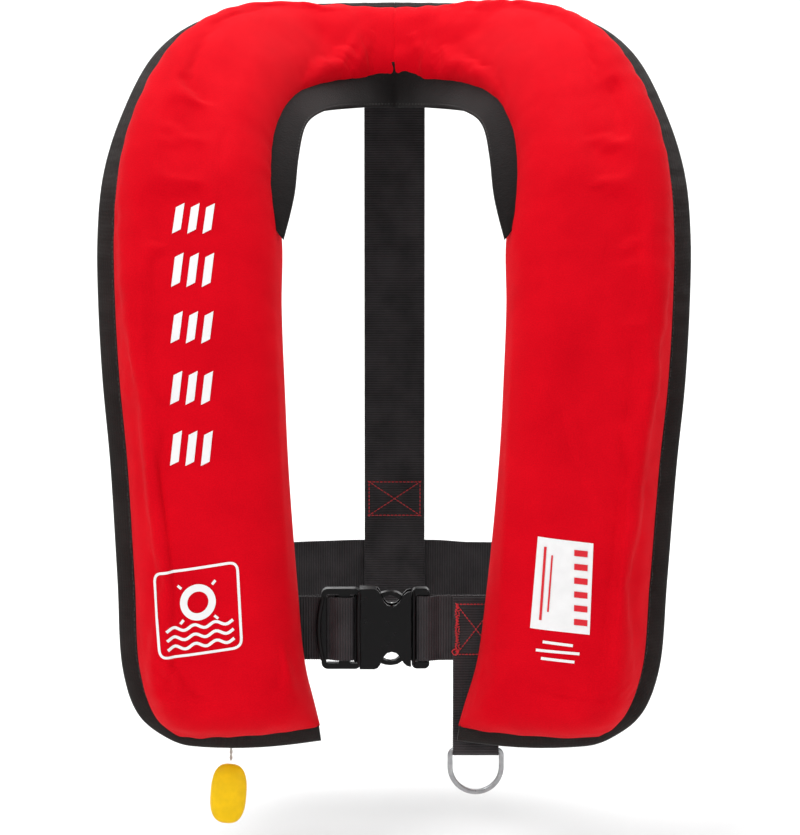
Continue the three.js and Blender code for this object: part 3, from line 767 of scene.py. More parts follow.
class RibbingTool(NodeTool):
    """Raises ribs across a strip, at an even pitch along its "run" attribute."""

    inputs = {
        "Rib pitch": ("NodeSocketFloat", 1.3 * MM),
        "Rib depth": ("NodeSocketFloat", 0.12 * MM),
        "Material": ("NodeSocketMaterial", None),
    }

    def build(self) -> None:
        """Push each point along its normal by the rib's wave."""
        given = self.entry.outputs
        run = self.add("GeometryNodeInputNamedAttribute", {"Name": "run"}, data_type="FLOAT")
        turns = self.add("ShaderNodeMath", {
            0: run.outputs[0], 1: given["Rib pitch"]}, operation="DIVIDE")
        angle = self.add(
            "ShaderNodeMath", {0: turns.outputs[0], 1: 2 * math.pi}, operation="MULTIPLY")
        wave = self.add("ShaderNodeMath", {0: angle.outputs[0]}, operation="COSINE")
        depth = self.add("ShaderNodeMath", {
            0: wave.outputs[0], 1: given["Rib depth"]}, operation="MULTIPLY")
        normal = self.add("GeometryNodeInputNormal")
        push = self.add("ShaderNodeVectorMath", {
            0: normal.outputs[0], 3: depth.outputs[0]}, operation="SCALE")
        moved = self.add("GeometryNodeSetPosition", {
            "Geometry": given["Geometry"], "Offset": push.outputs[0]})
        self.end_with(moved.outputs[0])


SEWING = SewingTool("sewing")
RIBBING = RibbingTool("ribbing")


# -------------------------------------------------------------- the sheet under each half


@dataclass(frozen=True)
class HalfSheet:
    """The curved sheet that one half of the horseshoe is built on.

    Its inner and outer edges run from the bottom of the front lobe, over the shoulder, to the
    middle of the back. On it, u goes from 0 at the inner edge to 1 at the outer one, and v
    from 0 at the lobe's bottom to 1 at the back seam.
    """

    side: int
    binding_width: float = 12 * MM
    gap: float = 0.3 * MM
    drift: float = 3 * MM
    drift_start: float = 0.35
    bottom_belly: float = 3 * MM
    belly_rows: int = 2
    lobe_bulge: float = 37 * MM
    collar_bulge: float = 29 * MM
    collar_start: float = 0.6
    bottom_round: float = 30 * MM
    seam_start: float = 0.9
    length: float = 594 * MM

    ROWS = np.array([
        [[41.5, -208, -382], [128, -206, -385.5]],
        [[47, -208, -361], [152, -206, -369]],
        [[54, -208, -334], [163, -206, -341]],
        [[59.5, -208, -284], [167, -205, -284]],
        [[65.5, -203, -212], [172, -199, -212]],
        [[68, -196, -165], [177, -190, -165]],
        [[70, -184, -118], [180.5, -176, -116]],
        [[70, -170, -82], [182, -158, -78]],
        [[74, -154, -50], [180, -136, -42]],
        [[74, -132, -27], [170.5, -106, -6]],
        [[69, -102, -12], [152.5, -68, 31]],
        [[59, -70, -6], [127, -32, 51]],
        [[43, -40, -4], [92, 2, 58.5]],
        [[22, -20, -3], [50, 24, 62]],
        [[0.15, -13, -2], [0.15, 31, 63]],
    ]) * MM

    @property
    def name(self) -> str:
        """Which side of the wearer it is on."""
        return "left" if self.side > 0 else "right"

    def point(self, u: Array, v: Array) -> Array:
        """Where the sheet is."""
        u, v = np.broadcast_arrays(np.asarray(u, float), np.asarray(v, float))
        inner, outer = (centripetal(self.ROWS[:, edge], v) for edge in (0, 1))
        spot = inner + (outer - inner) * u[..., None]
        fade = np.maximum(0, 1 - v * (len(self.ROWS) - 1) / self.belly_rows) ** 2
        sag = np.sin(math.pi * np.clip(u, 0, 1)) * fade
        spot[..., 2] -= self.bottom_belly * sag
        drift = self.drift * (1 - smoothstep(v, 0, self.drift_start))
        spot[..., 0] = self.side * spot[..., 0] - drift
        return spot

    @property
    def bottom_span(self) -> float:
        """The sheet's length for each unit of v, as it starts from the bottom edge."""
        return float(np.linalg.norm(self.point(0.5, 0.0) - self.point(0.5, 0.03))) / 0.03

    def width(self, v: Array) -> Array:
        """The sheet's width."""
        return np.linalg.norm(self.point(0.0, v) - self.point(1.0, v), axis=-1)

    def normal(self, v: Array) -> Array:
        """Out of the sheet's front, the same all the way across."""
        v = np.asarray(v, float)
        across = self.point(1.0, v) - self.point(0.0, v)
        after, before = np.minimum(v + 0.01, 1), np.maximum(v - 0.01, 0)
        forward = self.point(0.5, after) - self.point(0.5, before)
        normal = unit(np.cross(across, forward) * self.side)
        normal[..., 0] *= 1 - smoothstep(v, self.seam_start, 1)
        return unit(normal)

    def crown(self, u: Array, v: Array) -> Array:
        """How high the cover stands over the sheet: steep at both edges, flat in between."""
        across = np.sqrt(np.clip(1 - np.abs(2 * u - 1) ** 3.2, 0, 1))
        rise = np.clip(v * self.bottom_span / self.bottom_round, 0, 1)
        bottom = np.sqrt(np.clip(1 - (1 - rise) ** 2, 0, 1))
        fall = smoothstep(v, self.collar_start, 1)
        return across * bottom * (self.lobe_bulge + (self.collar_bulge - self.lobe_bulge) * fall)

    def skin(self, u: Array, v: Array, inset: float, height: Array | float) -> Array:
        """A skin over the sheet inside its binding, drawn in by an inset at its border."""
        u, v = np.broadcast_arrays(np.asarray(u, float), np.asarray(v, float))
        border = self.binding_width + 2 * self.gap + inset
        low = border / self.bottom_span
        place = low + (1 - low) * v
        width = self.width(place)
        start, end = inset / width, 1 - border / width
        height = np.broadcast_to(height, u.shape)[..., None]
        return self.point(start + (end - start) * u, place) + self.normal(place) * height


SHEETS = (HalfSheet(-1), HalfSheet(1))


# ----------------------------------------------------------------------- stage and camera


@dataclass
class Studio:
    """A pale floor that sweeps up behind, soft lights and the camera."""

    floor_z: float = -0.459
    half_width: float = 6.0
    front_y: float = -5.0
    wall_y: float = 2.2
    sweep: float = 1.4
    wall_height: float = 5.0
    eye: tuple[float, float, float] = (0.00364, -2.3826, 0.0835)
    pitch: float = 7.0
    lens: float = 163.35

    def build(self) -> None:
        """Make the camera, the sweep and the lights."""
        self.place_camera()
        self.lay_floor()
        self.light()

    def place_camera(self) -> None:
        """Stand the camera in front, looking slightly down."""
        camera = bpy.data.cameras.new("camera")
        camera.sensor_fit = "HORIZONTAL"
        camera.sensor_width = 36
        camera.lens = self.lens
        obj = bpy.data.objects.new("camera", camera)
        obj.location = self.eye
        obj.rotation_euler = (math.radians(90 - self.pitch), 0, 0)
        bpy.context.scene.collection.objects.link(obj)
        bpy.context.scene.camera = obj

    def lay_floor(self) -> None:
        """Lay a floor that curves up into a wall behind."""
        turn = np.linspace(0, math.pi / 2, 24)
        line = np.array([
            (self.front_y, self.floor_z),
            *zip(self.wall_y + self.sweep * np.sin(turn),
                 self.floor_z + self.sweep * (1 - np.cos(turn))),
            (self.wall_y + self.sweep, self.floor_z + self.wall_height),
        ])
        ends = np.array([-self.half_width, self.half_width])
        grid = np.stack(np.broadcast_arrays(
            ends[None, :], line[:, :1], line[:, 1:]), axis=-1)
        shader = Shader("pale floor")
        where = shader.place(on_weave=False)
        pale = shader.blend(shader.noise(where, 0.6), (0.9, 0.9, 0.9), (0.93, 0.93, 0.93))
        floor = make_mesh(
            "floor", grid, grid_faces(*grid.shape[:2]),
            shader.finish(base_color=pale, roughness=0.9, specular_ior_level=0.1))

    def light(self) -> None:
        """Hang soft lights above, in front and to the sides, in a pale room."""
        scene = bpy.context.scene
        scene.world = scene.world or bpy.data.worlds.new("room")
        scene.world.use_nodes = True
        sky = scene.world.node_tree.nodes["Background"]
        sky.inputs["Color"].default_value = (1, 1, 1, 1)
        sky.inputs["Strength"].default_value = 0.5
        scene.view_settings.view_transform = "Standard"
        self.hang("key", (-1.3, -1.7, 1.5), 1.0, 26)
        self.hang("fill", (1.6, -2.0, 0.1), 1.6, 8)
        self.hang("top", (0.2, 0.3, 1.9), 1.4, 8)
        self.hang("wall", (0.0, 1.2, 2.4), 3.0, 95)

    def hang(
        self, name: str, place: tuple[float, float, float], size: float, power: float
    ) -> None:
        """Hang one square light that faces the jacket."""
        lamp = bpy.data.lights.new(name, "AREA")
        lamp.size = size
        lamp.energy = power
        obj = bpy.data.objects.new(name, lamp)
        obj.location = place
        aim = Vector((0, -0.1, -0.15)) if name != "wall" else Vector((0, 2.6, 0))
        obj.rotation_euler = (aim - Vector(place)).to_track_quat("-Z", "Y").to_euler()
        bpy.context.scene.collection.objects.link(obj)


# -------------------------------------------------------------------- pull cord and toggle


@dataclass
class PullHandle:
    """The thin twisted cord from the inflator's lever, and the yellow toggle on it."""

    cord_diameter: float = 2 * MM
    strand_share: float = 0.5
    lay_length: float = 7 * MM
    toggle_tilt: float = 0.08
    squareness: float = 2.7
    seam_depth: float = 0.18 * MM

    def build(self) -> None:
        """Make the cord and the toggle."""
        toggle = self.mould_toggle()
        cord, path = self.twist_cord()
        settle(cord, "cord", ["pull_cord"])
        settle(toggle, "toggle", ["pull_toggle"])

    def route(self) -> Array:
        """The cord's middle line, from the lever's eye down to the toggle."""
        low, high = (np.array(corner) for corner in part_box("pull_cord"))
        x, y = (low + high)[:2] / 2
        z = np.linspace(high[2], low[2], 24)
        sway = 0.12 * MM * np.sin(np.linspace(0, 3 * math.pi, 24))
        return np.stack([x + sway, np.full(24, y), z], axis=1)

    def twist_cord(self) -> tuple[bpy.types.Object, Array]:
        """Twist two strands round the cord's middle line."""
        path = self.route()
        fine = resampled(path, 0.35 * MM)
        angle = 2 * math.pi * along(fine) / self.lay_length
        radius = self.cord_diameter / 2 * self.strand_share
        points, faces = [], []
        for start in (0.0, math.pi):
            offset = np.stack([
                np.cos(angle + start), np.sin(angle + start), np.zeros_like(angle)], axis=1)
            rings = round_rings(fine + radius * offset, radius, 8, Vector((1, 0, 0)))
            shift = len(points) and sum(map(len, points))
            faces += [[corner + shift for corner in face]
                      for face in grid_faces(len(rings), 8, closed=True)]
            faces += [[shift + k for k in range(8)][::-1],
                      [shift + (len(rings) - 1) * 8 + k for k in range(8)]]
            points.append(rings.reshape(-1, 3))
        cord = make_mesh(
            "twisted_pull_cord", np.vstack(points), faces, WARDROBE.of(Slot.CORD), outward=True)
        return cord, path

    def mould_toggle(self) -> bpy.types.Object:
        """Mould the toggle: a flat rounded bar with a parting line."""
        low, high = (np.array(corner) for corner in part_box("pull_toggle"))
        centre, half = (low + high) / 2, (high - low) / 2 - 0.3 * MM
        rows, sides = 48, 64
        rise = np.linspace(-math.pi / 2, math.pi / 2, rows + 1)[1:-1, None]
        around = np.linspace(0, 2 * math.pi, sides, endpoint=False)[None, :]

        def bulge(value: Array, power: float) -> Array:
            return np.sign(value) * np.abs(value) ** (2 / power)

        level = bulge(np.cos(rise), self.squareness)
        across = half[0] * level * bulge(np.cos(around), self.squareness)
        depth = half[1] * level * bulge(np.sin(around), 2.3)
        height = np.broadcast_to(half[2] * bulge(np.sin(rise), self.squareness), across.shape)
        parting = 1 - self.seam_depth / half[0] * np.exp(-((depth / (0.35 * MM)) ** 2))
        local = np.stack([across * parting, depth, height], axis=-1)
        lean = self.toggle_tilt
        turned = np.stack([
            local[..., 0] * math.cos(lean) + local[..., 2] * math.sin(lean), local[..., 1],
            local[..., 2] * math.cos(lean) - local[..., 0] * math.sin(lean)], axis=-1)
        rings = turned * np.array([0.97, 1, 0.99]) + centre
        return tube("toggle_handle", rings, WARDROBE.of(Slot.YELLOW_PLASTIC))


# ------------------------------------------------------------------------ covers and folds


@dataclass(frozen=True)
class Fold:
    """A soft crease in a cover, followed down the front.

    A ridge stands out along its path. With a lean, the cloth also steps from one side of the
    path to the other, so that one flank catches the light.
    """

    path: tuple[tuple[float, float], ...]
    height: float
    width: float
    lean: float = 0.0

    def lift(self, points: Array) -> Array:
        """How far the fold lifts each point, in metres."""
        path = np.array(self.path) * MM
        flat = points[..., [0, 2]]
        best = np.full(flat.shape[:-1], np.inf)
        signed, share = np.zeros_like(best), np.zeros_like(best)
        total = np.linalg.norm(np.diff(path, axis=0), axis=1)
        done = 0.0
        for start, end, length in zip(path[:-1], path[1:], total):
            line = (end - start) / length
            offset = flat - start
            t = np.clip(offset @ line, 0, length)
            gap = offset - t[..., None] * line
            distance = np.linalg.norm(gap, axis=-1)
            closer = distance < best
            best = np.where(closer, distance, best)
            side = np.sign(line[0] * gap[..., 1] - line[1] * gap[..., 0])
            signed = np.where(closer, side * distance, signed)
            share = np.where(closer, (done + t) / total.sum(), share)
            done += length
        reach = signed / (self.width * MM)
        taper = np.sin(math.pi * np.clip(share, 0.02, 0.98)) ** 0.6
        ridge = self.height * np.exp(-(reach**2))
        step = self.lean * np.tanh(reach) * np.exp(-((reach / 2.6) ** 2))
        facing = points[..., 1] < -0.02
        return np.where(facing, (ridge + step) * taper * MM, 0.0)


RIGHT_FOLDS = (
    Fold(((-84, 45), (-91, 24), (-99, -1), (-102, -25), (-116, -56)), 0.6, 7, 1.5),
    Fold(((-142, -2), (-144, -30), (-142, -60)), 1.2, 5),
    Fold(((-136, 16), (-130, 2), (-124, -14)), 1.0, 5),
    Fold(((-152, -55), (-153, -120), (-151, -200), (-149, -270)), -1.2, 4, 0.8),
    Fold(((-72, -112), (-69, -217), (-65, -302), (-58, -334)), 0.7, 2.5),
    Fold(((-95, -238), (-88, -275), (-84, -325)), 0.5, 9, 0.5),
    Fold(((-120, -345), (-98, -350), (-70, -346)), 0.9, 7),
    Fold(((-110, 30), (-118, 12), (-130, -20)), -0.9, 8, -0.6),
    Fold(((-92, -66), (-88, -130), (-90, -190)), -0.7, 11, 0.6),
)
LEFT_FOLDS = (
    Fold(((146, -60), (148, -90), (154, -117), (161, -146)), -1.8, 4, 0.9),
    Fold(((122, -96), (113, -127), (93, -154), (92, -175), (99, -205), (117, -246)), 0.9, 8, -1.3),
    Fold(((102, -167), (110, -199), (123, -232), (127, -252)), 1.1, 3.5),
    Fold(((126, -185), (136, -214), (144, -244), (152, -267)), 1.3, 4, 0.4),
    Fold(((133, -118), (135, -145), (137, -171)), 0.8, 6),
    Fold(((50, -341), (56, -336), (62, -331)), -1.0, 4),
    Fold(((62, -341), (70, -352), (80, -362)), 1.0, 5, 0.6),
    Fold(((76, -341), (100, -344), (120, -361)), -1.3, 5),
    Fold(((90, 42), (96, -1), (121, -35), (153, -60)), 0.6, 8, -1.6),
    Fold(((105, 29), (108, 18), (111, 7)), 1.2, 5),
    Fold(((124, 0), (128, -12), (131, -26)), 1.2, 5),
    Fold(((72, -112), (69, -217), (65, -302), (58, -334)), 0.7, 2.5),
)
COLLAR_FOLDS = (
    Fold(((-14, 52), (-16, 40), (-22, 26)), 0.7, 3),
    Fold(((9, 54), (12, 42), (17, 30)), 0.7, 3),
    Fold(((-42, 50), (-46, 38), (-54, 22)), -0.8, 6, 0.5),
    Fold(((40, 52), (48, 40), (52, 24)), 0.8, 6, -0.5),
)


@dataclass
class Cover:
    """One half of the red cover, puffed up over what is packed in it."""

    sheet: HalfSheet
    folds: tuple[Fold, ...]
    thickness: float = 1.0 * MM
    tuck: float = 0.8 * MM
    start_low: float = 4 * MM
    pressure: float = 4.0
    growth: float = 0.008
    frames: int = 20
    cap: float = 7 * MM
    sink: float = 1.2 * MM
    ease_across: float = 0.2
    ease_up: float = 45 * MM
    ease_back: float = 60 * MM
    collar_inset: float = 2.6 * MM
    lobe_width: float = 110 * MM
    across: int = 32
    step: float = 4.6 * MM
    bottom_rows: int = 12
    refine: int = 3
    seam_width: float = 3.2 * MM
    seam_depth: float = 0.5 * MM
    pucker: float = 0.9 * MM

    def stations(self) -> tuple[Array, Array]:
        """Where the cloth's coarse grid lines lie, as u across and v along."""
        u = 0.5 - 0.5 * np.cos(math.pi * np.arange(self.across + 1) / self.across)
        rise = self.sheet.bottom_round / self.sheet.bottom_span
        bottom = rise * np.linspace(0, 1, self.bottom_rows) ** 2
        rest = np.linspace(rise, 1, round((1 - rise) * self.sheet.length / self.step) + 1)
        return u[None, :], np.r_[bottom, rest[1:]][:, None]

    def build(self) -> bpy.types.Object:
        """Make the cover: puff the cloth up, crease it and give it its thickness."""
        u, v = self.stations()
        u, v = np.broadcast_arrays(u, v)
        crown = self.sheet.crown(u, v)
        share = crown / self.sheet.lobe_bulge
        under_band = self.collar_inset / self.sheet.width(v) * smoothstep(v, 0.66, 0.78)
        place = u + under_band * (1 - u) ** 4
        loose = self.sheet.skin(place, v, -self.tuck, crown - self.start_low * share)
        full = self.sheet.skin(place, v, -self.tuck, crown)
        coarse = self.puff(loose, full)
        grid = refined(refined(coarse, self.refine, 0), self.refine, 1)
        fine_u, fine_v = (
            refined(refined(value[..., None].copy(), self.refine, 0), self.refine, 1)[..., 0]
            for value in (u, v))
        grid = self.crease(grid, np.clip(fine_u, 0, 1), np.clip(fine_v, 0, 1))
        return self.tailor(grid)

    def puff(self, loose: Array, full: Array) -> Array:
        """Blow the loose cloth up with its border held.

        Args:
            loose: The cloth's points before, in rows along the half.
            full: The shape it should fill.

        Returns:
            The points after, none of them further than the cap from where it started.
        """
        rows, columns = loose.shape[:2]
        cloth = make_mesh(
            "loose_cloth", loose, grid_faces(rows, columns), WARDROBE.of(Slot.RED_CLOTH))
        if self.sheet.side > 0:
            cloth.data.flip_normals()
        held = cloth.vertex_groups.new(name="sewn")
        edge = np.zeros((rows, columns), bool)
        edge[[0, -1]] = edge[:, [0, -1]] = True
        held.add(np.flatnonzero(edge.ravel()).tolist(), 1.0, "REPLACE")
        modifier = cloth.modifiers.new("puff", "CLOTH")
        weave = modifier.settings
        weave.quality = 5
        weave.mass = 0.3
        weave.tension_stiffness = weave.compression_stiffness = 15
        weave.shear_stiffness = 5
        weave.bending_stiffness = 0.6
        weave.shrink_min = -self.growth
        weave.use_pressure = True
        weave.uniform_pressure_force = self.pressure
        weave.effector_weights.gravity = 0
        weave.vertex_group_mass = held.name
        modifier.point_cache.frame_end = self.frames
        scene = bpy.context.scene
        for step in range(1, self.frames + 1):
            scene.frame_set(step)
        shape = cloth.evaluated_get(bpy.context.evaluated_depsgraph_get()).data
        moved = np.empty(rows * columns * 3, np.float32)
        shape.vertices.foreach_get("co", moved)
        scene.frame_set(1)
        bpy.data.objects.remove(cloth)
        shift = moved.reshape(loose.shape) - full
        outward = grid_normals(full) * self.sheet.side
        rise = np.sum(shift * outward, axis=-1, keepdims=True)
        log.info("cover %s puffed: mean rise %.1f mm", self.sheet.name, rise.mean() / MM)
        level = rise - rise.mean()
        shift += outward * (self.sink * np.tanh(level / self.sink) * (level < 0)
                            + level * (level >= 0) - rise)
        shift *= self.freedom(rows, columns)[..., None]
        size = np.linalg.norm(shift, axis=-1, keepdims=True)
        return full + shift * np.tanh(size / self.cap) * self.cap / np.maximum(size, 1e-9)

    def freedom(self, rows: int, columns: int) -> Array:
        """How freely the cloth may move at each point: not at all by its sewn border."""
        u, v = self.stations()
        inwards = smoothstep(np.minimum(u, 1 - u), 0.0, self.ease_across)
        upwards = smoothstep(v * self.sheet.bottom_span, 0, self.ease_up)
        back = smoothstep((1 - v) * self.sheet.length, 0, self.ease_back)
        return np.broadcast_to(inwards * upwards * back, (rows, columns))

    def crease(self, grid: Array, u: Array, v: Array) -> Array:
        """Work the folds, the border's puckers and the back seam into the cloth."""
        normal = grid_normals(grid) * self.sheet.side
        lift = sum(fold.lift(grid) for fold in self.folds + COLLAR_FOLDS)
        run = v * self.sheet.length
        width = self.sheet.width(v)
        seed = 11 + self.sheet.side
        from_outer, from_inner = (1 - u) * width, u * width
        lift += self.pucker * ripple(run, 15 * MM, seed) * np.exp(-from_outer / (13 * MM))
        lift += 0.4 * self.pucker * ripple(run, 22 * MM, seed + 1) * np.exp(-from_inner / (9 * MM))
        lift += self.pucker * ripple(u * width, 17 * MM, seed + 2) * np.exp(-run / (15 * MM))
        across, down = np.meshgrid(u[0] * self.lobe_width, run[:, 0])
        lift += 0.5 * MM * ripple(down + 0.6 * across, 60 * MM, seed + 3) * ripple(
            across - 0.3 * down, 45 * MM, seed + 4)
        lift -= self.seam_depth * np.exp(-((grid[..., 0] / self.seam_width) ** 2)) * (
            smoothstep(grid[..., 1], -0.05, -0.02))
        lift *= smoothstep(np.minimum(np.minimum(from_outer, from_inner), run), 0, 5 * MM)
        grid = grid + normal * lift[..., None]
        grid[..., 0] *= 1 - smoothstep(v, 0.985, 1)
        return grid

    def tailor(self, grid: Array) -> bpy.types.Object:
        """Make the piece itself, with its weave laid along it and its thickness inwards."""
        rows, columns = grid.shape[:2]
        middle = columns // 2
        run = along(grid[:, middle])
        steps = np.linalg.norm(np.diff(grid, axis=1), axis=-1)
        across = np.concatenate([np.zeros((rows, 1)), np.cumsum(steps, axis=1)], axis=1)
        uv = np.stack([across, np.broadcast_to(run[:, None], across.shape)], axis=-1)
        cover = make_mesh(
            f"red_cover_{self.sheet.name}", grid, grid_faces(rows, columns),
            WARDROBE.of(Slot.RED_CLOTH), uv)
        if self.sheet.side > 0:
            cover.data.flip_normals()
        wall = cover.modifiers.new("cloth thickness", "SOLIDIFY")
        wall.thickness = self.thickness
        wall.offset = -1
        settle(cover, "jacket", [f"cover_{self.sheet.name}"])
        return cover


@dataclass
class BorderTape:
    """The black tape folded over the bottom and the outer edge of one half."""

    sheet: HalfSheet
    width: float = 11.8 * MM
    front: float = 2.6 * MM
    back: float = 2.0 * MM
    step: float = 1.6 * MM
    rounding: int = 30
    unevenness: float = 0.45 * MM
    stitch_inset: float = 1.9 * MM

    def edge(self) -> tuple[Array, Array]:
        """The border's line and the sheet's normal along it."""
        across = np.linspace(0, 1, 60)[:-1]
        upward = np.linspace(0, 1, 420)
        line = np.vstack([self.sheet.point(across, 0.0), self.sheet.point(1.0, upward)])
        place = np.r_[np.zeros(len(across)), upward]
        normal = self.sheet.normal(place)
        length = along(line)
        stops = np.linspace(0, length[-1], round(length[-1] / self.step))
        even, facing = (
            np.stack([np.interp(stops, length, value[:, k]) for k in range(3)], axis=1)
            for value in (line, normal))
        return softened(even, self.rounding), unit(softened(facing, self.rounding))

    def build(self) -> None:
        """Make the tape and sew it on."""
        line, facing = self.edge()
        inward = unit(np.cross(tangents(line), facing)) * -self.sheet.side
        run = along(line)
        seed = 31 + self.sheet.side
        reach = self.width + self.unevenness * ripple(run, 14 * MM, seed)
        swell = 1 + 0.1 * ripple(run, 9 * MM, seed + 1)
        section = np.array([
            (1.0, 0.55), (0.985, 0.9), (0.94, 1.0), (0.8, 0.93), (0.62, 1.0), (0.4, 1.03),
            (0.2, 1.0), (0.07, 0.8), (0.0, 0.35), (0.0, -0.3), (0.07, -0.8), (0.25, -1.0),
            (0.6, -1.0), (0.93, -1.0), (1.0, -0.7)])
        depth = section[:, 0][None, :, None] * reach[:, None, None]
        rise = np.where(section[:, 1] > 0, section[:, 1] * self.front, section[:, 1] * self.back)
        height = rise[None, :, None] * swell[:, None, None]
        rings = line[:, None] + inward[:, None] * depth + facing[:, None] * height
        wrap = np.r_[0, np.cumsum(np.hypot(*np.diff(section * [self.width, self.front], axis=0).T))]
        uv = np.stack(np.broadcast_arrays(run[:, None], wrap[None, :]), axis=-1)
        tape = tube(f"edge_tape_{self.sheet.name}", rings, WARDROBE.of(Slot.BLACK_CLOTH), uv)
        settle(tape, "jacket", [f"binding_{self.sheet.name}"])
        seam = line + inward * (reach - self.stitch_inset)[:, None] + facing * (
            self.front * 0.98 * swell)[:, None]
        stitches = SEWING.sew(
            f"edge_tape_stitches_{self.sheet.name}", [seam[2:-2]], WARDROBE.cut(BLACK_THREAD),
            3.2 * MM, 2.6 * MM, 0.55 * MM)
        settle(stitches, "jacket")


@dataclass
class BackPanel:
    """The black cloth behind one half, next to the wearer, quilted along its middle."""

    sheet: HalfSheet
    thickness: float = 1.8 * MM
    face: float = 0.2 * MM
    quilt_depth: float = 0.9 * MM
    slack: float = 0.3 * MM

    def build(self) -> None:
        """Make the panel with a line of quilting and its slack."""
        u = np.linspace(0, 1, 49)[None, :]
        v = np.linspace(0, 1, 241)[:, None]
        u, v = np.broadcast_arrays(u, v)
        run = v * self.sheet.length
        width = self.sheet.width(v)
        seed = 51 + self.sheet.side
        slack = self.slack * (
            ripple(run, 38 * MM, seed) * ripple(u * width, 30 * MM, seed + 1) - 1)
        ease = smoothstep(np.minimum(u, 1 - u) * width, 0, 8 * MM) * smoothstep(1 - v, 0, 0.05)
        quilt = -self.quilt_depth * np.exp(-(((u - 0.5) * width / (3 * MM)) ** 2))
        outer = self.sheet.skin(u, v, 0.0, -self.face - self.thickness - (slack + quilt) * ease)
        inner = self.sheet.skin(u, v, 0.0, -self.face)
        rows = u.shape[0]
        rings = np.concatenate([inner, outer[:, ::-1]], axis=1)
        across = u * width
        uv = np.stack(np.broadcast_arrays(
            np.concatenate([across, across[:, ::-1]], axis=1), run[:, :1]), axis=-1)
        panel = tube(
            f"black_back_panel_{self.sheet.name}", rings, WARDROBE.cut(BACKING_CLOTH), uv)
        settle(panel, "jacket", [f"back_panel_{self.sheet.name}"])
        rows_of_stitches = [
            self.sheet.skin(np.full(rows, share), v[:, 0], 0.0,
                            -self.face - self.thickness - lift)[4:-4]
            for share, lift in ((0.5, 0.25 * MM), (0.03, 0.2 * MM), (0.97, 0.2 * MM))]
        stitches = SEWING.sew(
            f"back_panel_stitches_{self.sheet.name}", rows_of_stitches,
            WARDROBE.cut(BLACK_THREAD), 3.6 * MM, 2.9 * MM, 0.6 * MM)
        settle(stitches, "jacket")


@dataclass
class NeckBand:
    """The padded black band round the neck opening."""

    start_v: float = 0.5
    thickness: float = 5.5 * MM
    tuck: float = 1.5 * MM
    around: int = 220
    across: int = 18

    EDGE = np.array([
        [0, -23, -4], [16, -42, -3], [32, -66, -2], [46, -98, -4], [55, -124, -11],
        [59, -148, -30], [61, -166, -52], [67, -182, -78]]) * MM

    def frame(self, w: Array) -> tuple[Array, Array]:
        """The band's free edge and its line on the cover, from one tip round to the other."""
        side = np.where(w < 0.5, -1.0, 1.0)
        from_back = np.abs(2 * w - 1)
        place = 1 - from_back * (1 - self.start_v)
        share = 0.02 + 0.2 * (1 - from_back) ** 3
        sheet = SHEETS[1]
        on_cover = sheet.skin(share, place, 0.0, sheet.crown(share, place))
        free = centripetal(self.EDGE, from_back)
        on_cover[:, 0] *= side
        free[:, 0] *= side
        return free, on_cover

    def build(self) -> None:
        """Make the band as a long soft pad with a seam just inside its free edge."""
        w = np.linspace(0, 1, self.around)
        free, on_cover = self.frame(w)
        free, on_cover = softened(free, 6), softened(on_cover, 6)
        toward = unit(on_cover - free)
        on_cover = on_cover + toward * self.tuck
        share = np.linspace(0, 1, self.across)
        spine = free[:, None] + (on_cover - free)[:, None] * share[None, :, None]
        away = unit(spine * np.array([1, 1, 0.35]) + np.array([0, 0.12, 0.014]))
        swell = np.sin(math.pi * np.clip(share, 0, 1) ** 0.75) ** 0.55
        piping = 0.35 * np.exp(-(((share - 0.07) / 0.05) ** 2))
        run = along(free)
        uneven = 1 + 0.12 * ripple(run, 40 * MM, 71)[:, None]
        thick = self.thickness * (0.25 + 0.6 * swell - piping)[None, :] * uneven
        tips = smoothstep(np.minimum(w, 1 - w), 0, 0.03)[:, None]
        thick = (thick * (0.3 + 0.7 * tips))[..., None]
        front = spine - away * thick * 0.35
        back = spine + away * thick * 0.65
        rings = np.concatenate([front, back[:, ::-1]], axis=1)
        band = tube("padded_neck_band", rings, WARDROBE.of(Slot.LINING))
        settle(band, "jacket", ["neck_lining"])
        seam = free + (on_cover - free) * 0.09 - away[:, 1] * self.thickness * 0.12
        stitches = SEWING.sew(
            "neck_band_stitches", [seam[6:-6]], WARDROBE.cut(BLACK_THREAD),
            3.0 * MM, 2.4 * MM, 0.5 * MM)
        settle(stitches, "jacket")


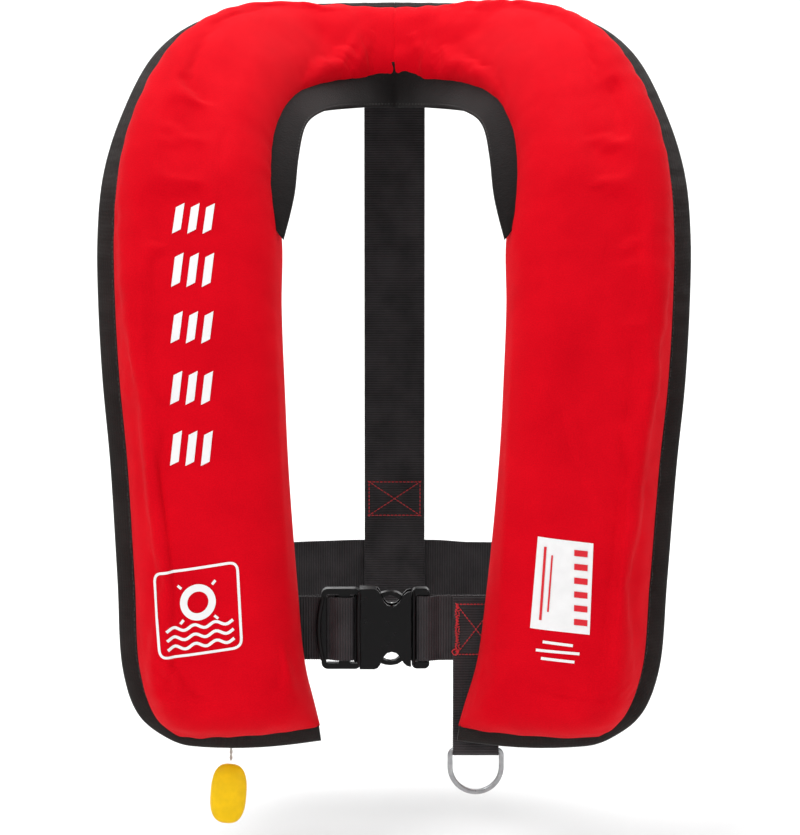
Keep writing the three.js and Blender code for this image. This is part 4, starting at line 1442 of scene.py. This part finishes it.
@dataclass
class Prints:
    """White marks printed on the covers: slanted bars, a rescue sign and a plain label."""

    covers: list[bpy.types.Object]
    spacing: float = 1.3 * MM
    stand_off: float = 0.34 * MM

    def build(self) -> None:
        """Print every mark."""
        graph = bpy.context.evaluated_depsgraph_get()
        self.trees = [BVHTree.FromObject(cover, graph) for cover in self.covers]
        self.print_shapes("printed_bars", self.bars(), WHITE_INK)
        self.print_shapes("printed_rescue_sign", self.rescue_sign(), WHITE_INK)
        self.print_shapes("printed_label", self.label(), WHITE_INK)
        self.print_shapes("printed_label_bars", self.label_bars(), RED_INK, 2.0)

    def panel(self, corners: Sequence[tuple[float, float]]) -> tuple[Array, bool]:
        """A filled four-sided patch, its corners in order round it, in millimetres."""
        a, b, c, d = (np.array(corner) for corner in corners)
        size = self.spacing / MM
        rows = max(2, round(max(np.linalg.norm(d - a), np.linalg.norm(c - b)) / size))
        columns = max(2, round(max(np.linalg.norm(b - a), np.linalg.norm(c - d)) / size))
        s = np.linspace(0, 1, rows)[:, None, None]
        t = np.linspace(0, 1, columns)[None, :, None]
        return (a * (1 - t) + b * t) * (1 - s) + (d * (1 - t) + c * t) * s, False

    def stroke(
        self, line: Array, width: float, closed: bool = False
    ) -> tuple[Array, bool]:
        """A line of even width along some points, in millimetres."""
        points = np.pad(np.array(line, float), ((0, 0), (0, 1)))
        if closed:
            points = np.vstack([points, points[:1]])
        points = resampled(points, self.spacing / MM)[:, :2]
        if closed:
            points = points[:-1]
            forward = unit(np.roll(points, -1, 0) - np.roll(points, 1, 0))
        else:
            forward = tangents(points)
        side = np.stack([-forward[:, 1], forward[:, 0]], axis=1)
        reach = np.linspace(-width / 2, width / 2, max(2, round(width / 1.2) + 1))
        return points[:, None] + side[:, None] * reach[None, :, None], closed

    def bars(self) -> list[tuple[Array, bool]]:
        """Five groups of slanted bars down the right lobe."""
        groups = []
        for top, height in ((-55, 18), (-84, 20), (-118, 19), (-153, 20), (-188, 21)):
            for k in range(3):
                low, lift = top - height, 2.6
                x = -133.5 + 9.2 * k
                groups.append(self.panel((
                    (x, low), (x + 5.2, low + lift), (x + 7.2, top), (x + 2.0, top - lift))))
        return groups

    def rescue_sign(self) -> list[tuple[Array, bool]]:
        """A rounded frame with a ring afloat on waves in it."""
        corners = np.array([(-143.5, -274), (-93.5, -266), (-91, -317.5), (-140, -325)], float)
        frame_line = self.rounded(corners, 5.5)
        right, down = corners[1] - corners[0], corners[3] - corners[0]

        def inside(x: Array, z: Array) -> Array:
            return corners[0] + np.multiply.outer(x, right) + np.multiply.outer(z, down)

        turn = np.linspace(0, 2 * math.pi, 40, endpoint=False)
        ring = inside(0.5 + 0.17 * np.cos(turn), 0.4 + 0.17 * np.sin(turn))
        shapes = [self.stroke(frame_line, 1.6, closed=True), self.stroke(ring, 4.4, closed=True)]
        x = np.linspace(0.1, 0.9, 60)
        for level in (0.68, 0.79, 0.9):
            wave = inside(x, level + 0.025 * np.sin(x * 8 * math.pi))
            shapes.append(self.stroke(wave, 1.8))
        for angle in (0.25, 0.75, 1.25, 1.75):
            spot = np.array([math.cos(math.pi * angle), math.sin(math.pi * angle)])
            ends = [np.array([0.5, 0.4]) + spot * reach for reach in (0.26, 0.32)]
            shapes.append(self.stroke([inside(*end) for end in ends], 1.6))
        return shapes

    def rounded(self, corners: Array, radius: float) -> Array:
        """A closed outline with its corners rounded."""
        points = []
        for before, corner, after in zip(
                np.roll(corners, 1, 0), corners, np.roll(corners, -1, 0)):
            start = corner + unit(before - corner) * radius
            end = corner + unit(after - corner) * radius
            for t in np.linspace(0, 1, 7):
                points.append((1 - t) ** 2 * start + 2 * t * (1 - t) * corner + t**2 * end)
        return np.array(points)

    def label(self) -> list[tuple[Array, bool]]:
        """A white patch on the left lobe, with three thin rules under it."""
        shapes = [self.panel(((86, -251), (119, -255), (117, -310), (81.5, -306)))]
        for z, inset in ((-315, 9), (-320, 5), (-325, 8)):
            shapes.append(self.stroke([(80 + inset, z + 0.8), (116 - inset, z - 1.6)], 1.7))
        return shapes

    def label_bars(self) -> list[tuple[Array, bool]]:
        """Plain red bars along both sides of the white patch."""
        shapes = []
        for k in range(6):
            z = -259 - 8.3 * k
            shapes.append(self.panel((
                (107.5, z - 3.4), (115.5, z - 4.3), (115.6, z - 0.6), (107.6, z + 0.3))))
        shapes.append(self.stroke([(90.5, -257), (87.5, -301)], 1.5))
        shapes.append(self.stroke([(94.5, -262), (92.0, -296)], 1.0))
        return shapes

    def print_shapes(
        self, name: str, shapes: list[tuple[Array, bool]], ink: PrintedInk, layer: float = 1.0
    ) -> None:
        """Press flat shapes onto the covers from the front.

        Args:
            name: The name of the printed piece.
            shapes: Grids of places in x and z, and whether each closes on itself.
            ink: What they are printed in.
            layer: How many thicknesses of ink it stands off the cloth.
        """
        points, faces = [], []
        for grid, closed in shapes:
            rows, columns = grid.shape[:2]
            shift = len(points)
            count = rows * columns
            lines = grid_faces(rows + 1 if closed else rows, columns)
            faces += [[shift + corner % count for corner in face] for face in lines]
            points += [self.press(x, z, layer) for x, z in grid.reshape(-1, 2) * MM]
        ink_layer = make_mesh(name, np.array(points), faces, WARDROBE.cut(ink))
        self.face_front(ink_layer)
        settle(ink_layer, "jacket")

    def press(self, x: float, z: float, layer: float) -> Vector:
        """Where the ink lies on the cloth, in line with the viewer from the front."""
        best = None
        for tree in self.trees:
            spot, normal, _, _ = tree.ray_cast(Vector((x, -0.4, z)), Vector((0, 1, 0)))
            if spot is not None and (best is None or spot.y < best[0].y):
                best = (spot, normal)
        spot, normal = best
        return spot + normal * self.stand_off * layer * (1 if normal.y < 0 else -1)

    @staticmethod
    def face_front(obj: bpy.types.Object) -> None:
        """Turn every face that looks backwards."""
        shape = bmesh.new()
        shape.from_mesh(obj.data)
        shape.normal_update()
        backward = [face for face in shape.faces if face.normal.y > 0]
        bmesh.ops.reverse_faces(shape, faces=backward)
        shape.to_mesh(obj.data)
        shape.free()


# ------------------------------------------------------------------------ woven straps


@dataclass
class Strap:
    """A woven strip that follows a bent path, ribbed across.

    Attributes:
        name: The piece's name.
        path: Its middle line, in millimetres.
        across: The direction of its width.
        width: Its width.
        thickness: Its thickness, under the ribs.
        body: The body it moves with.
        node: The frame's node that it stands for.
        rounding: How many times its corners are softened.
        sway: How far it wanders out of line where it hangs free.
    """

    name: str
    path: Sequence[tuple[float, float, float]]
    across: tuple[float, float, float]
    width: float
    thickness: float
    body: str
    node: str
    rounding: int = 12
    sway: Callable[[Array], Array] | None = None
    rib_pitch: float = 1.3 * MM
    rib_depth: float = 0.13 * MM

    SECTION = np.array([
        (-1.0, 0.35), (-0.985, 0.85), (-0.95, 1.08), (-0.9, 0.9), (-0.45, 0.94), (0.0, 0.94),
        (0.45, 0.94), (0.9, 0.9), (0.95, 1.08), (0.985, 0.85), (1.0, 0.35)])

    def build(self) -> bpy.types.Object:
        """Weave the strap."""
        line = resampled(np.array(self.path) * MM, self.rib_pitch / 2)
        line = resampled(softened(line, self.rounding), self.rib_pitch / 2)
        across = np.array(self.across, float)
        facing = unit(np.cross(across, tangents(line)))
        half = self.thickness / 2 - self.rib_depth
        section = np.vstack([self.SECTION, self.SECTION[::-1] * [1, -1]])
        run = along(line)
        spread = section[None, :, 0, None] * (self.width / 2) * across
        height = section[None, :, 1, None] * half * facing[:, None]
        rings = line[:, None] + spread + height
        if self.sway is not None:
            rings = rings + self.sway(rings)
        wrap = np.r_[0, np.cumsum(np.hypot(*np.diff(section * [self.width / 2, half], axis=0).T))]
        uv = np.stack(np.broadcast_arrays(run[:, None] + self.rib_pitch / 4, wrap[None, :]), -1)
        strap = tube(self.name, rings, WARDROBE.of(Slot.WEBBING), uv)
        attribute = strap.data.attributes.new("run", "FLOAT", "POINT")
        attribute.data.foreach_set("value", np.repeat(run, len(section)).astype(np.float32))
        RIBBING.run(strap, {
            "Rib pitch": self.rib_pitch, "Rib depth": self.rib_depth,
            "Material": WARDROBE.of(Slot.WEBBING)})
        return settle(strap, self.body, [self.node])


def arc(
    centre: tuple[float, float], radius: float, start: float, end: float, steps: int
) -> list[tuple[float, float]]:
    """Points round part of a circle, its angles in half turns."""
    angles = np.linspace(start, end, steps + 1) * math.pi
    return [(centre[0] + radius * math.cos(a), centre[1] + radius * math.sin(a)) for a in angles]


@dataclass
class Harness:
    """The waist belt and its adjustable end, the back strap, the ring's webbing and keepers.

    Its sizes are in millimetres.
    """

    belt_width: float = 40
    belt_thickness: float = 1.6
    belt_z: float = -314
    front_y: float = -197.6
    right_y: float = -190.5
    right_end: float = -80
    back_y: float = 21
    half_width: float = 150
    sewn: float = 0.95
    buckle_y: float = -197.5
    fold_x: float = 16.6
    fold: float = 3.2
    strap_top: float = 38
    strap_fold: float = 2.5
    collar_slope: float = 0.68
    stitch_z: tuple[float, float] = (-277, -254.5)
    ring_x: float = 50
    ring_z: float = -389.5
    ring_y: float = -199.2
    ring_width: float = 28
    ring_gap: float = 2.75
    keeper_x: float = 118

    @property
    def low(self) -> float:
        """The height of the belt's lower edge."""
        return self.belt_z - self.belt_width / 2

    @property
    def top(self) -> float:
        """The height of the belt's upper edge."""
        return self.belt_z + self.belt_width / 2

    def build(self) -> None:
        """Weave every strap, then sew the marked stitches."""
        self.belt()
        self.adjuster()
        self.back_strap()
        self.ring_webbing()
        for side, name in ((-1, "right"), (1, "left")):
            self.keeper(side, name)
        self.sew_boxes()

    def flat(self, points: Iterable[tuple[float, float]]) -> list[tuple[float, float, float]]:
        """Points seen from above, at the belt's height."""
        return [(x, y, self.belt_z) for x, y in points]

    def belt(self) -> None:
        """The belt: folded round the buckle's bar, then all the way round the wearer."""
        foldy = self.buckle_y - 1.3
        front, rear = self.front_y - self.sewn, self.front_y + self.sewn
        depth = (self.back_y - self.front_y) / 2
        angles = np.linspace(-0.14, 1.14, 30) * math.pi

        def squared(value: Array) -> Array:
            return np.sign(value) * np.abs(value) ** (2 / 2.7)

        def corner(side: int, y: float) -> list[tuple[float, float]]:
            return [(side * x, y + dy) for x, dy in ((127, 0), (134, 2), (140, 9), (143, 21))]

        path = [
            (92, front), (27, front), (21, foldy - self.fold), (self.fold_x, foldy - self.fold),
            *arc((self.fold_x, foldy), self.fold, -0.5, -1.5, 6)[1:],
            (21, foldy + self.fold), (27, rear), (92, rear), *corner(1, rear),
            *zip(self.half_width * squared(np.cos(angles)),
                 self.front_y + depth + depth * squared(np.sin(angles))),
            *corner(-1, self.right_y)[::-1], (self.right_end, self.right_y)]

        def sway(rings: Array) -> Array:
            """Let the belt wander and twist a little behind the wearer's sides."""
            x, z = rings[..., 0], rings[..., 2] - self.belt_z * MM
            free = smoothstep(rings[..., 1], -0.1, -0.01) * smoothstep(np.abs(x), 0.024, 0.05)
            shift = np.zeros_like(rings)
            shift[..., 1] = free * (
                1.6 * MM * ripple(x, 0.055, 81) + z * 0.11 * ripple(x, 0.075, 82))
            shift[..., 2] = free * (0.7 * MM * ripple(x, 0.09, 83) - 0.012 * np.abs(x))
            return shift

        Strap("waist_belt_webbing", self.flat(path), (0, 0, 1), self.belt_width * MM,
              self.belt_thickness * MM, "jacket", "waist_belt", rounding=8, sway=sway).build()

    def adjuster(self) -> None:
        """The adjustable end, over the buckle's bar and back behind itself."""
        path = [
            (-106, -199.2), (-47, -199.2), (-39.4, -199.9), (-35.4, -203.4), (-32.8, -204.2),
            (-27.4, -204.2), (-24.6, -202.8), (-24, -197.4), (-25.4, -194.4), (-29, -192.8),
            (-42, -193.6), (-60, -196.4)]
        Strap("adjuster_strap", self.flat(path), (0, 0, 1), (self.belt_width - 1) * MM,
              (self.belt_thickness - 0.2) * MM, "belt_end", "adjuster_webbing",
              rounding=6).build()

    def back_strap(self) -> None:
        """The strap down the back, looped under the belt and sewn to itself."""
        y = self.back_y - self.strap_fold
        turn_z = self.low - 0.3 - self.belt_thickness / 2
        sewn_y = y + self.belt_thickness + 0.2
        line = [
            (y + 16 * self.collar_slope, self.strap_top + 16), (y, self.strap_top),
            *arc((self.back_y, turn_z + 1.3), self.strap_fold, 1, 2, 6),
            (self.back_y + self.strap_fold, self.top + 3),
            (sewn_y, self.stitch_z[0] - 5), (sewn_y, self.stitch_z[1] + 4)]
        Strap("back_strap_webbing", [(0, a, b) for a, b in line], (1, 0, 0),
              self.belt_width * MM, self.belt_thickness * MM, "jacket", "back_strap",
              rounding=6).build()

    def ring_webbing(self) -> None:
        """The folded webbing that holds the harness ring under the belt."""
        front, rear = self.front_y - self.ring_gap, self.front_y + self.ring_gap
        hold = 3.2
        line = [
            (front, self.top - 1), (front, self.low - 1), (self.ring_y - hold, self.low - 12),
            (self.ring_y - hold, self.ring_z),
            *arc((self.ring_y, self.ring_z), hold, 1, 2, 8)[1:],
            (self.ring_y + hold, self.low - 12), (rear, self.low - 1), (rear, self.top - 1)]
        Strap("ring_strap", [(self.ring_x, a, b) for a, b in line], (1, 0, 0),
              self.ring_width * MM, 1.5 * MM, "jacket", "ring_webbing", rounding=5).build()

    def keeper(self, side: int, name: str) -> None:
        """A loop on the back of one lobe that the belt passes through."""
        front, rear, margin = -203.4, -188.2, 3
        low, top = self.low - margin, self.top + margin
        line = [(front, top), (rear, top), (rear, low), (front, low)]
        Strap(f"belt_loop_{name}", [(side * self.keeper_x, a, b) for a, b in line], (1, 0, 0),
              16 * MM, 1.2 * MM, "jacket", f"belt_keeper_{name}", rounding=4).build()

    def box(
        self, low: tuple[float, float], high: tuple[float, float], y: float
    ) -> list[Array]:
        """The rows of a boxed cross, in metres, on the plane at y."""
        (x0, z0), (x1, z1) = low, high
        outline = [(x0, z0), (x1, z0), (x1, z1), (x0, z1), (x0, z0)]
        rows = [outline, [(x0, z0), (x1, z1)], [(x0, z1), (x1, z0)]]
        return [
            resampled(np.array([(x, y, z) for x, z in row], float) * MM, 0.8 * MM)
            for row in rows]

    def sew_boxes(self) -> None:
        """Sew the red boxed crosses, with a knot where the ring's one was finished off."""
        face = self.back_y - self.strap_fold - self.belt_thickness / 2 - 0.1
        strap_rows = self.box((-17, self.stitch_z[0]), (17, self.stitch_z[1]), face)
        strap = SEWING.sew(
            "back_strap_red_stitches", strap_rows, WARDROBE.of(Slot.THREAD),
            2.5 * MM, 2.2 * MM, 0.75 * MM)
        settle(strap, "jacket", ["strap_stitch"])
        face = self.front_y - self.ring_gap - 0.85
        x0, x1 = self.ring_x - 12, self.ring_x + 12
        rows = self.box((x0, -330), (x1, -299), face)
        rng = np.random.default_rng(91)
        rows += [
            resampled(np.array([
                (x0 + 0.6 + 1.1 * math.sin(t), face - 0.2, z) for t, z in
                zip(np.linspace(0, 36 * math.pi, 300), np.linspace(-329.5, -300, 300))
            ]) * MM, 0.3 * MM),
            np.array([
                (x0 - 0.8 + 1.8 * math.cos(a) + rng.uniform(-0.4, 0.4), face - 0.3 - 0.3 * r,
                 -328.5 + 1.8 * math.sin(a)) for r in range(2)
                for a in np.linspace(0, 2 * math.pi, 14)]) * MM]
        ring = SEWING.sew(
            "ring_strap_red_stitches", rows, WARDROBE.of(Slot.THREAD), 2.1 * MM, 1.9 * MM,
            0.75 * MM)
        settle(ring, "jacket", ["ring_stitch"])


# ---------------------------------------------------------------------- hard pieces


@dataclass
class HarnessRing:
    """The bent steel D ring under the left lobe. Its sizes are in millimetres."""

    x: float = 50
    y: float = -199.2
    z: float = -389.5
    half_width: float = 17.3
    depth: float = 28
    bar: float = 3.2
    corner: float = 3.5

    def build(self) -> None:
        """Bend a flattened bar round the D, and weld its straight side."""
        half = self.half_width - self.bar / 2
        low = self.z - self.depth + self.half_width
        top = self.z
        line = [
            *arc((self.x + half - self.corner, top - self.corner), self.corner, 0.5, 0, 6),
            *[(self.x + half, z) for z in np.linspace(top - self.corner, low, 5)[1:]],
            *arc((self.x, low), half, 0, -1, 30)[1:],
            *[(self.x - half, z) for z in np.linspace(low, top - self.corner, 5)[1:]],
            *arc((self.x - half + self.corner, top - self.corner), self.corner, 1, 0.5, 6)[1:],
            *[(x, top) for x in np.linspace(
                self.x - half + self.corner, self.x + half - self.corner, 9)[1:-1]]]
        path = np.array([(a, self.y, b) for a, b in line]) * MM
        forward = unit(np.roll(path, -1, 0) - np.roll(path, 1, 0))
        outward = np.cross(forward, np.array([0, 1, 0]))
        angle = np.linspace(0, 2 * math.pi, 16, endpoint=False)
        rounded = [np.sign(f(angle)) * np.abs(f(angle)) ** 0.7 for f in (np.cos, np.sin)]
        reach = self.bar / 2 * MM
        rings = (
            path[:, None] + outward[:, None] * rounded[0][None, :, None] * reach
            + np.array([0, 1, 0]) * rounded[1][None, :, None] * reach * 0.96)
        ring = tube("steel_harness_ring", rings, WARDROBE.of(Slot.STEEL), closed=True)
        settle(ring, "ring", ["harness_ring"])


@dataclass(frozen=True)
class RoundedPart:
    """A hard piece of the frame, with its edges rounded off as a mould or a tool leaves them.

    Attributes:
        node: The frame's node that it is shaped from.
        name: The new piece's name.
        body: The body it moves with.
        slot: The slot of its finish.
        radius: Of its edges.
    """

    node: str
    name: str
    body: str
    slot: Slot
    radius: float = 0.6 * MM

    def build(self) -> bpy.types.Object:
        """Copy the node's shape, clean it up and round it."""
        source = bpy.data.objects[self.node]
        mesh = source.data.copy()
        mesh.name = self.name
        shape = bmesh.new()
        shape.from_mesh(mesh)
        bmesh.ops.remove_doubles(shape, verts=shape.verts, dist=0.005 * MM)
        bmesh.ops.dissolve_limit(
            shape, angle_limit=math.radians(1.5), verts=shape.verts, edges=shape.edges)
        bmesh.ops.recalc_face_normals(shape, faces=shape.faces)
        shape.to_mesh(mesh)
        shape.free()
        mesh.materials.clear()
        mesh.materials.append(WARDROBE.of(self.slot))
        mesh.polygons.foreach_set("use_smooth", [True] * len(mesh.polygons))
        obj = bpy.data.objects.new(self.name, mesh)
        bpy.context.scene.collection.objects.link(obj)
        rounding = obj.modifiers.new("rounded edges", "BEVEL")
        rounding.width = self.radius
        rounding.segments = 3
        rounding.limit_method = "ANGLE"
        rounding.angle_limit = math.radians(35)
        rounding.harden_normals = True
        level = obj.modifiers.new("even shading", "WEIGHTED_NORMAL")
        level.keep_sharp = True
        return settle(obj, self.body, [self.node])


@dataclass
class Buckle:
    """The side-release buckle: its two rounded halves and the ridges moulded on them."""

    y: float = -197.5
    z: float = -314

    def build(self) -> None:
        """Round the halves and add the ridges."""
        RoundedPart(
            "buckle_socket", "buckle_socket_half", "belt_end", Slot.BLACK_PLASTIC,
            0.9 * MM).build()
        RoundedPart(
            "buckle_plug", "buckle_plug_half", "jacket", Slot.BLACK_PLASTIC, 0.7 * MM).build()
        self.ridge("socket_ridge", "belt_end", -21.2, self.y - 6.4, 23.2, 1.3, 0.5)
        self.ridge("socket_end_bar", "belt_end", -43.0, self.y - 4.6, 20.5, 1.6, 3.0)
        self.ridge("socket_inner_bar", "belt_end", -23.4, self.y - 2.6, 21.4, 1.5, 0.0)
        self.ridge("plug_ridge", "jacket", 12.0, self.y - 4.0, 23.4, 1.1, 0.0)
        self.ridge("plug_web", "jacket", 11.2, self.y - 0.2, 20.8, 2.2, 0.0)

    def ridge(
        self, name: str, body: str, x: float, y: float, half: float, radius: float, bow: float
    ) -> None:
        """Add a rounded upright rib.

        Args:
            name: The rib's name.
            body: The body it moves with.
            x: Where its ends are across the buckle, in millimetres, as the other sizes are.
            y: How far forward it is.
            half: Half its height.
            radius: Its radius.
            bow: How far its middle stands out to the side.
        """
        share = np.linspace(-1, 1, 40)
        path = np.stack([
            x - bow * (1 - share**2), np.full_like(share, y), self.z + half * share], 1) * MM
        taper = radius * MM * np.sqrt(np.clip(1 - np.abs(share) ** 14, 0.02, 1))
        rib = tube(
            name, round_rings(path, taper, 14, Vector((1, 0, 0))),
            WARDROBE.of(Slot.BLACK_PLASTIC))
        settle(rib, body)


HIDDEN_PARTS = (
    RoundedPart("inflator_body", "inflator_housing", "jacket", Slot.YELLOW_PLASTIC, 0.8 * MM),
    RoundedPart("inflator_lever", "inflator_pull_lever", "lever", Slot.BLACK_PLASTIC, 0.5 * MM),
    RoundedPart("firing_pin", "steel_firing_pin", "pin", Slot.STEEL, 0.15 * MM),
    RoundedPart("gas_cylinder", "steel_gas_cylinder", "cylinder", Slot.STEEL, 0.5 * MM),
    RoundedPart("mouth_tube", "mouth_inflation_tube", "jacket", Slot.BLACK_PLASTIC, 0.4 * MM),
    RoundedPart("mouth_tube_cap", "mouth_tube_dust_cap", "tube_cap", Slot.RED_PLASTIC, 0.4 * MM),
    RoundedPart("whistle", "pealess_whistle", "jacket", Slot.YELLOW_PLASTIC, 0.6 * MM),
)


@dataclass
class FoldedBladder:
    """Part of the buoyancy bladder, folded flat and packed under its cover."""

    node: str
    clearance: float = 2.6 * MM
    fold_pitch: float = 7 * MM
    fold_depth: float = 1.6 * MM

    def build(self) -> None:
        """Stack the folds as ridges that run along the lobe, and round them over."""
        source = bpy.data.objects[self.node]
        mesh = source.data.copy()
        shape = bmesh.new()
        shape.from_mesh(mesh)
        bmesh.ops.remove_doubles(shape, verts=shape.verts, dist=0.01 * MM)
        bmesh.ops.triangulate(shape, faces=shape.faces)
        longest = 9 * MM
        for _ in range(4):
            long_edges = [edge for edge in shape.edges if edge.calc_length() > longest]
            if not long_edges:
                break
            bmesh.ops.subdivide_edges(shape, edges=long_edges, cuts=1)
            bmesh.ops.triangulate(shape, faces=shape.faces)
        shape.normal_update()
        spots = np.array([vert.co for vert in shape.verts])
        normals = np.array([vert.normal for vert in shape.verts])
        run = np.hypot(spots[:, 0], 0.4 * spots[:, 1])
        dip = 0.5 - 0.5 * np.cos(2 * math.pi * run / self.fold_pitch)
        moved = spots - normals * (self.clearance + self.fold_depth * dip)[:, None]
        for vert, spot in zip(shape.verts, moved):
            vert.co = spot
        shape.to_mesh(mesh)
        shape.free()
        mesh.materials.clear()
        mesh.materials.append(WARDROBE.of(Slot.BLADDER))
        mesh.polygons.foreach_set("use_smooth", [True] * len(mesh.polygons))
        mesh.name = f"folded_{self.node}"
        obj = bpy.data.objects.new(f"folded_{self.node}", mesh)
        bpy.context.scene.collection.objects.link(obj)
        settle(obj, "jacket", [self.node])


# ------------------------------------------------------------------------- all together


def main() -> None:
    """Build the studio, the pull handle, the shells, the straps and the hard pieces."""
    logging.basicConfig(level=logging.INFO, format="%(message)s")
    Studio().build()
    PullHandle().build()
    covers = []
    for sheet, folds in zip(SHEETS, (RIGHT_FOLDS, LEFT_FOLDS)):
        covers.append(Cover(sheet, folds).build())
        BorderTape(sheet).build()
        BackPanel(sheet).build()
        for node in ("lobe_bladder", "collar_bladder"):
            FoldedBladder(f"{node}_{sheet.name}").build()
    NeckBand().build()
    Prints(covers).build()
    Harness().build()
    HarnessRing().build()
    Buckle().build()
    for part in HIDDEN_PARTS:
        part.build()


if __name__ == "__main__":
    main()
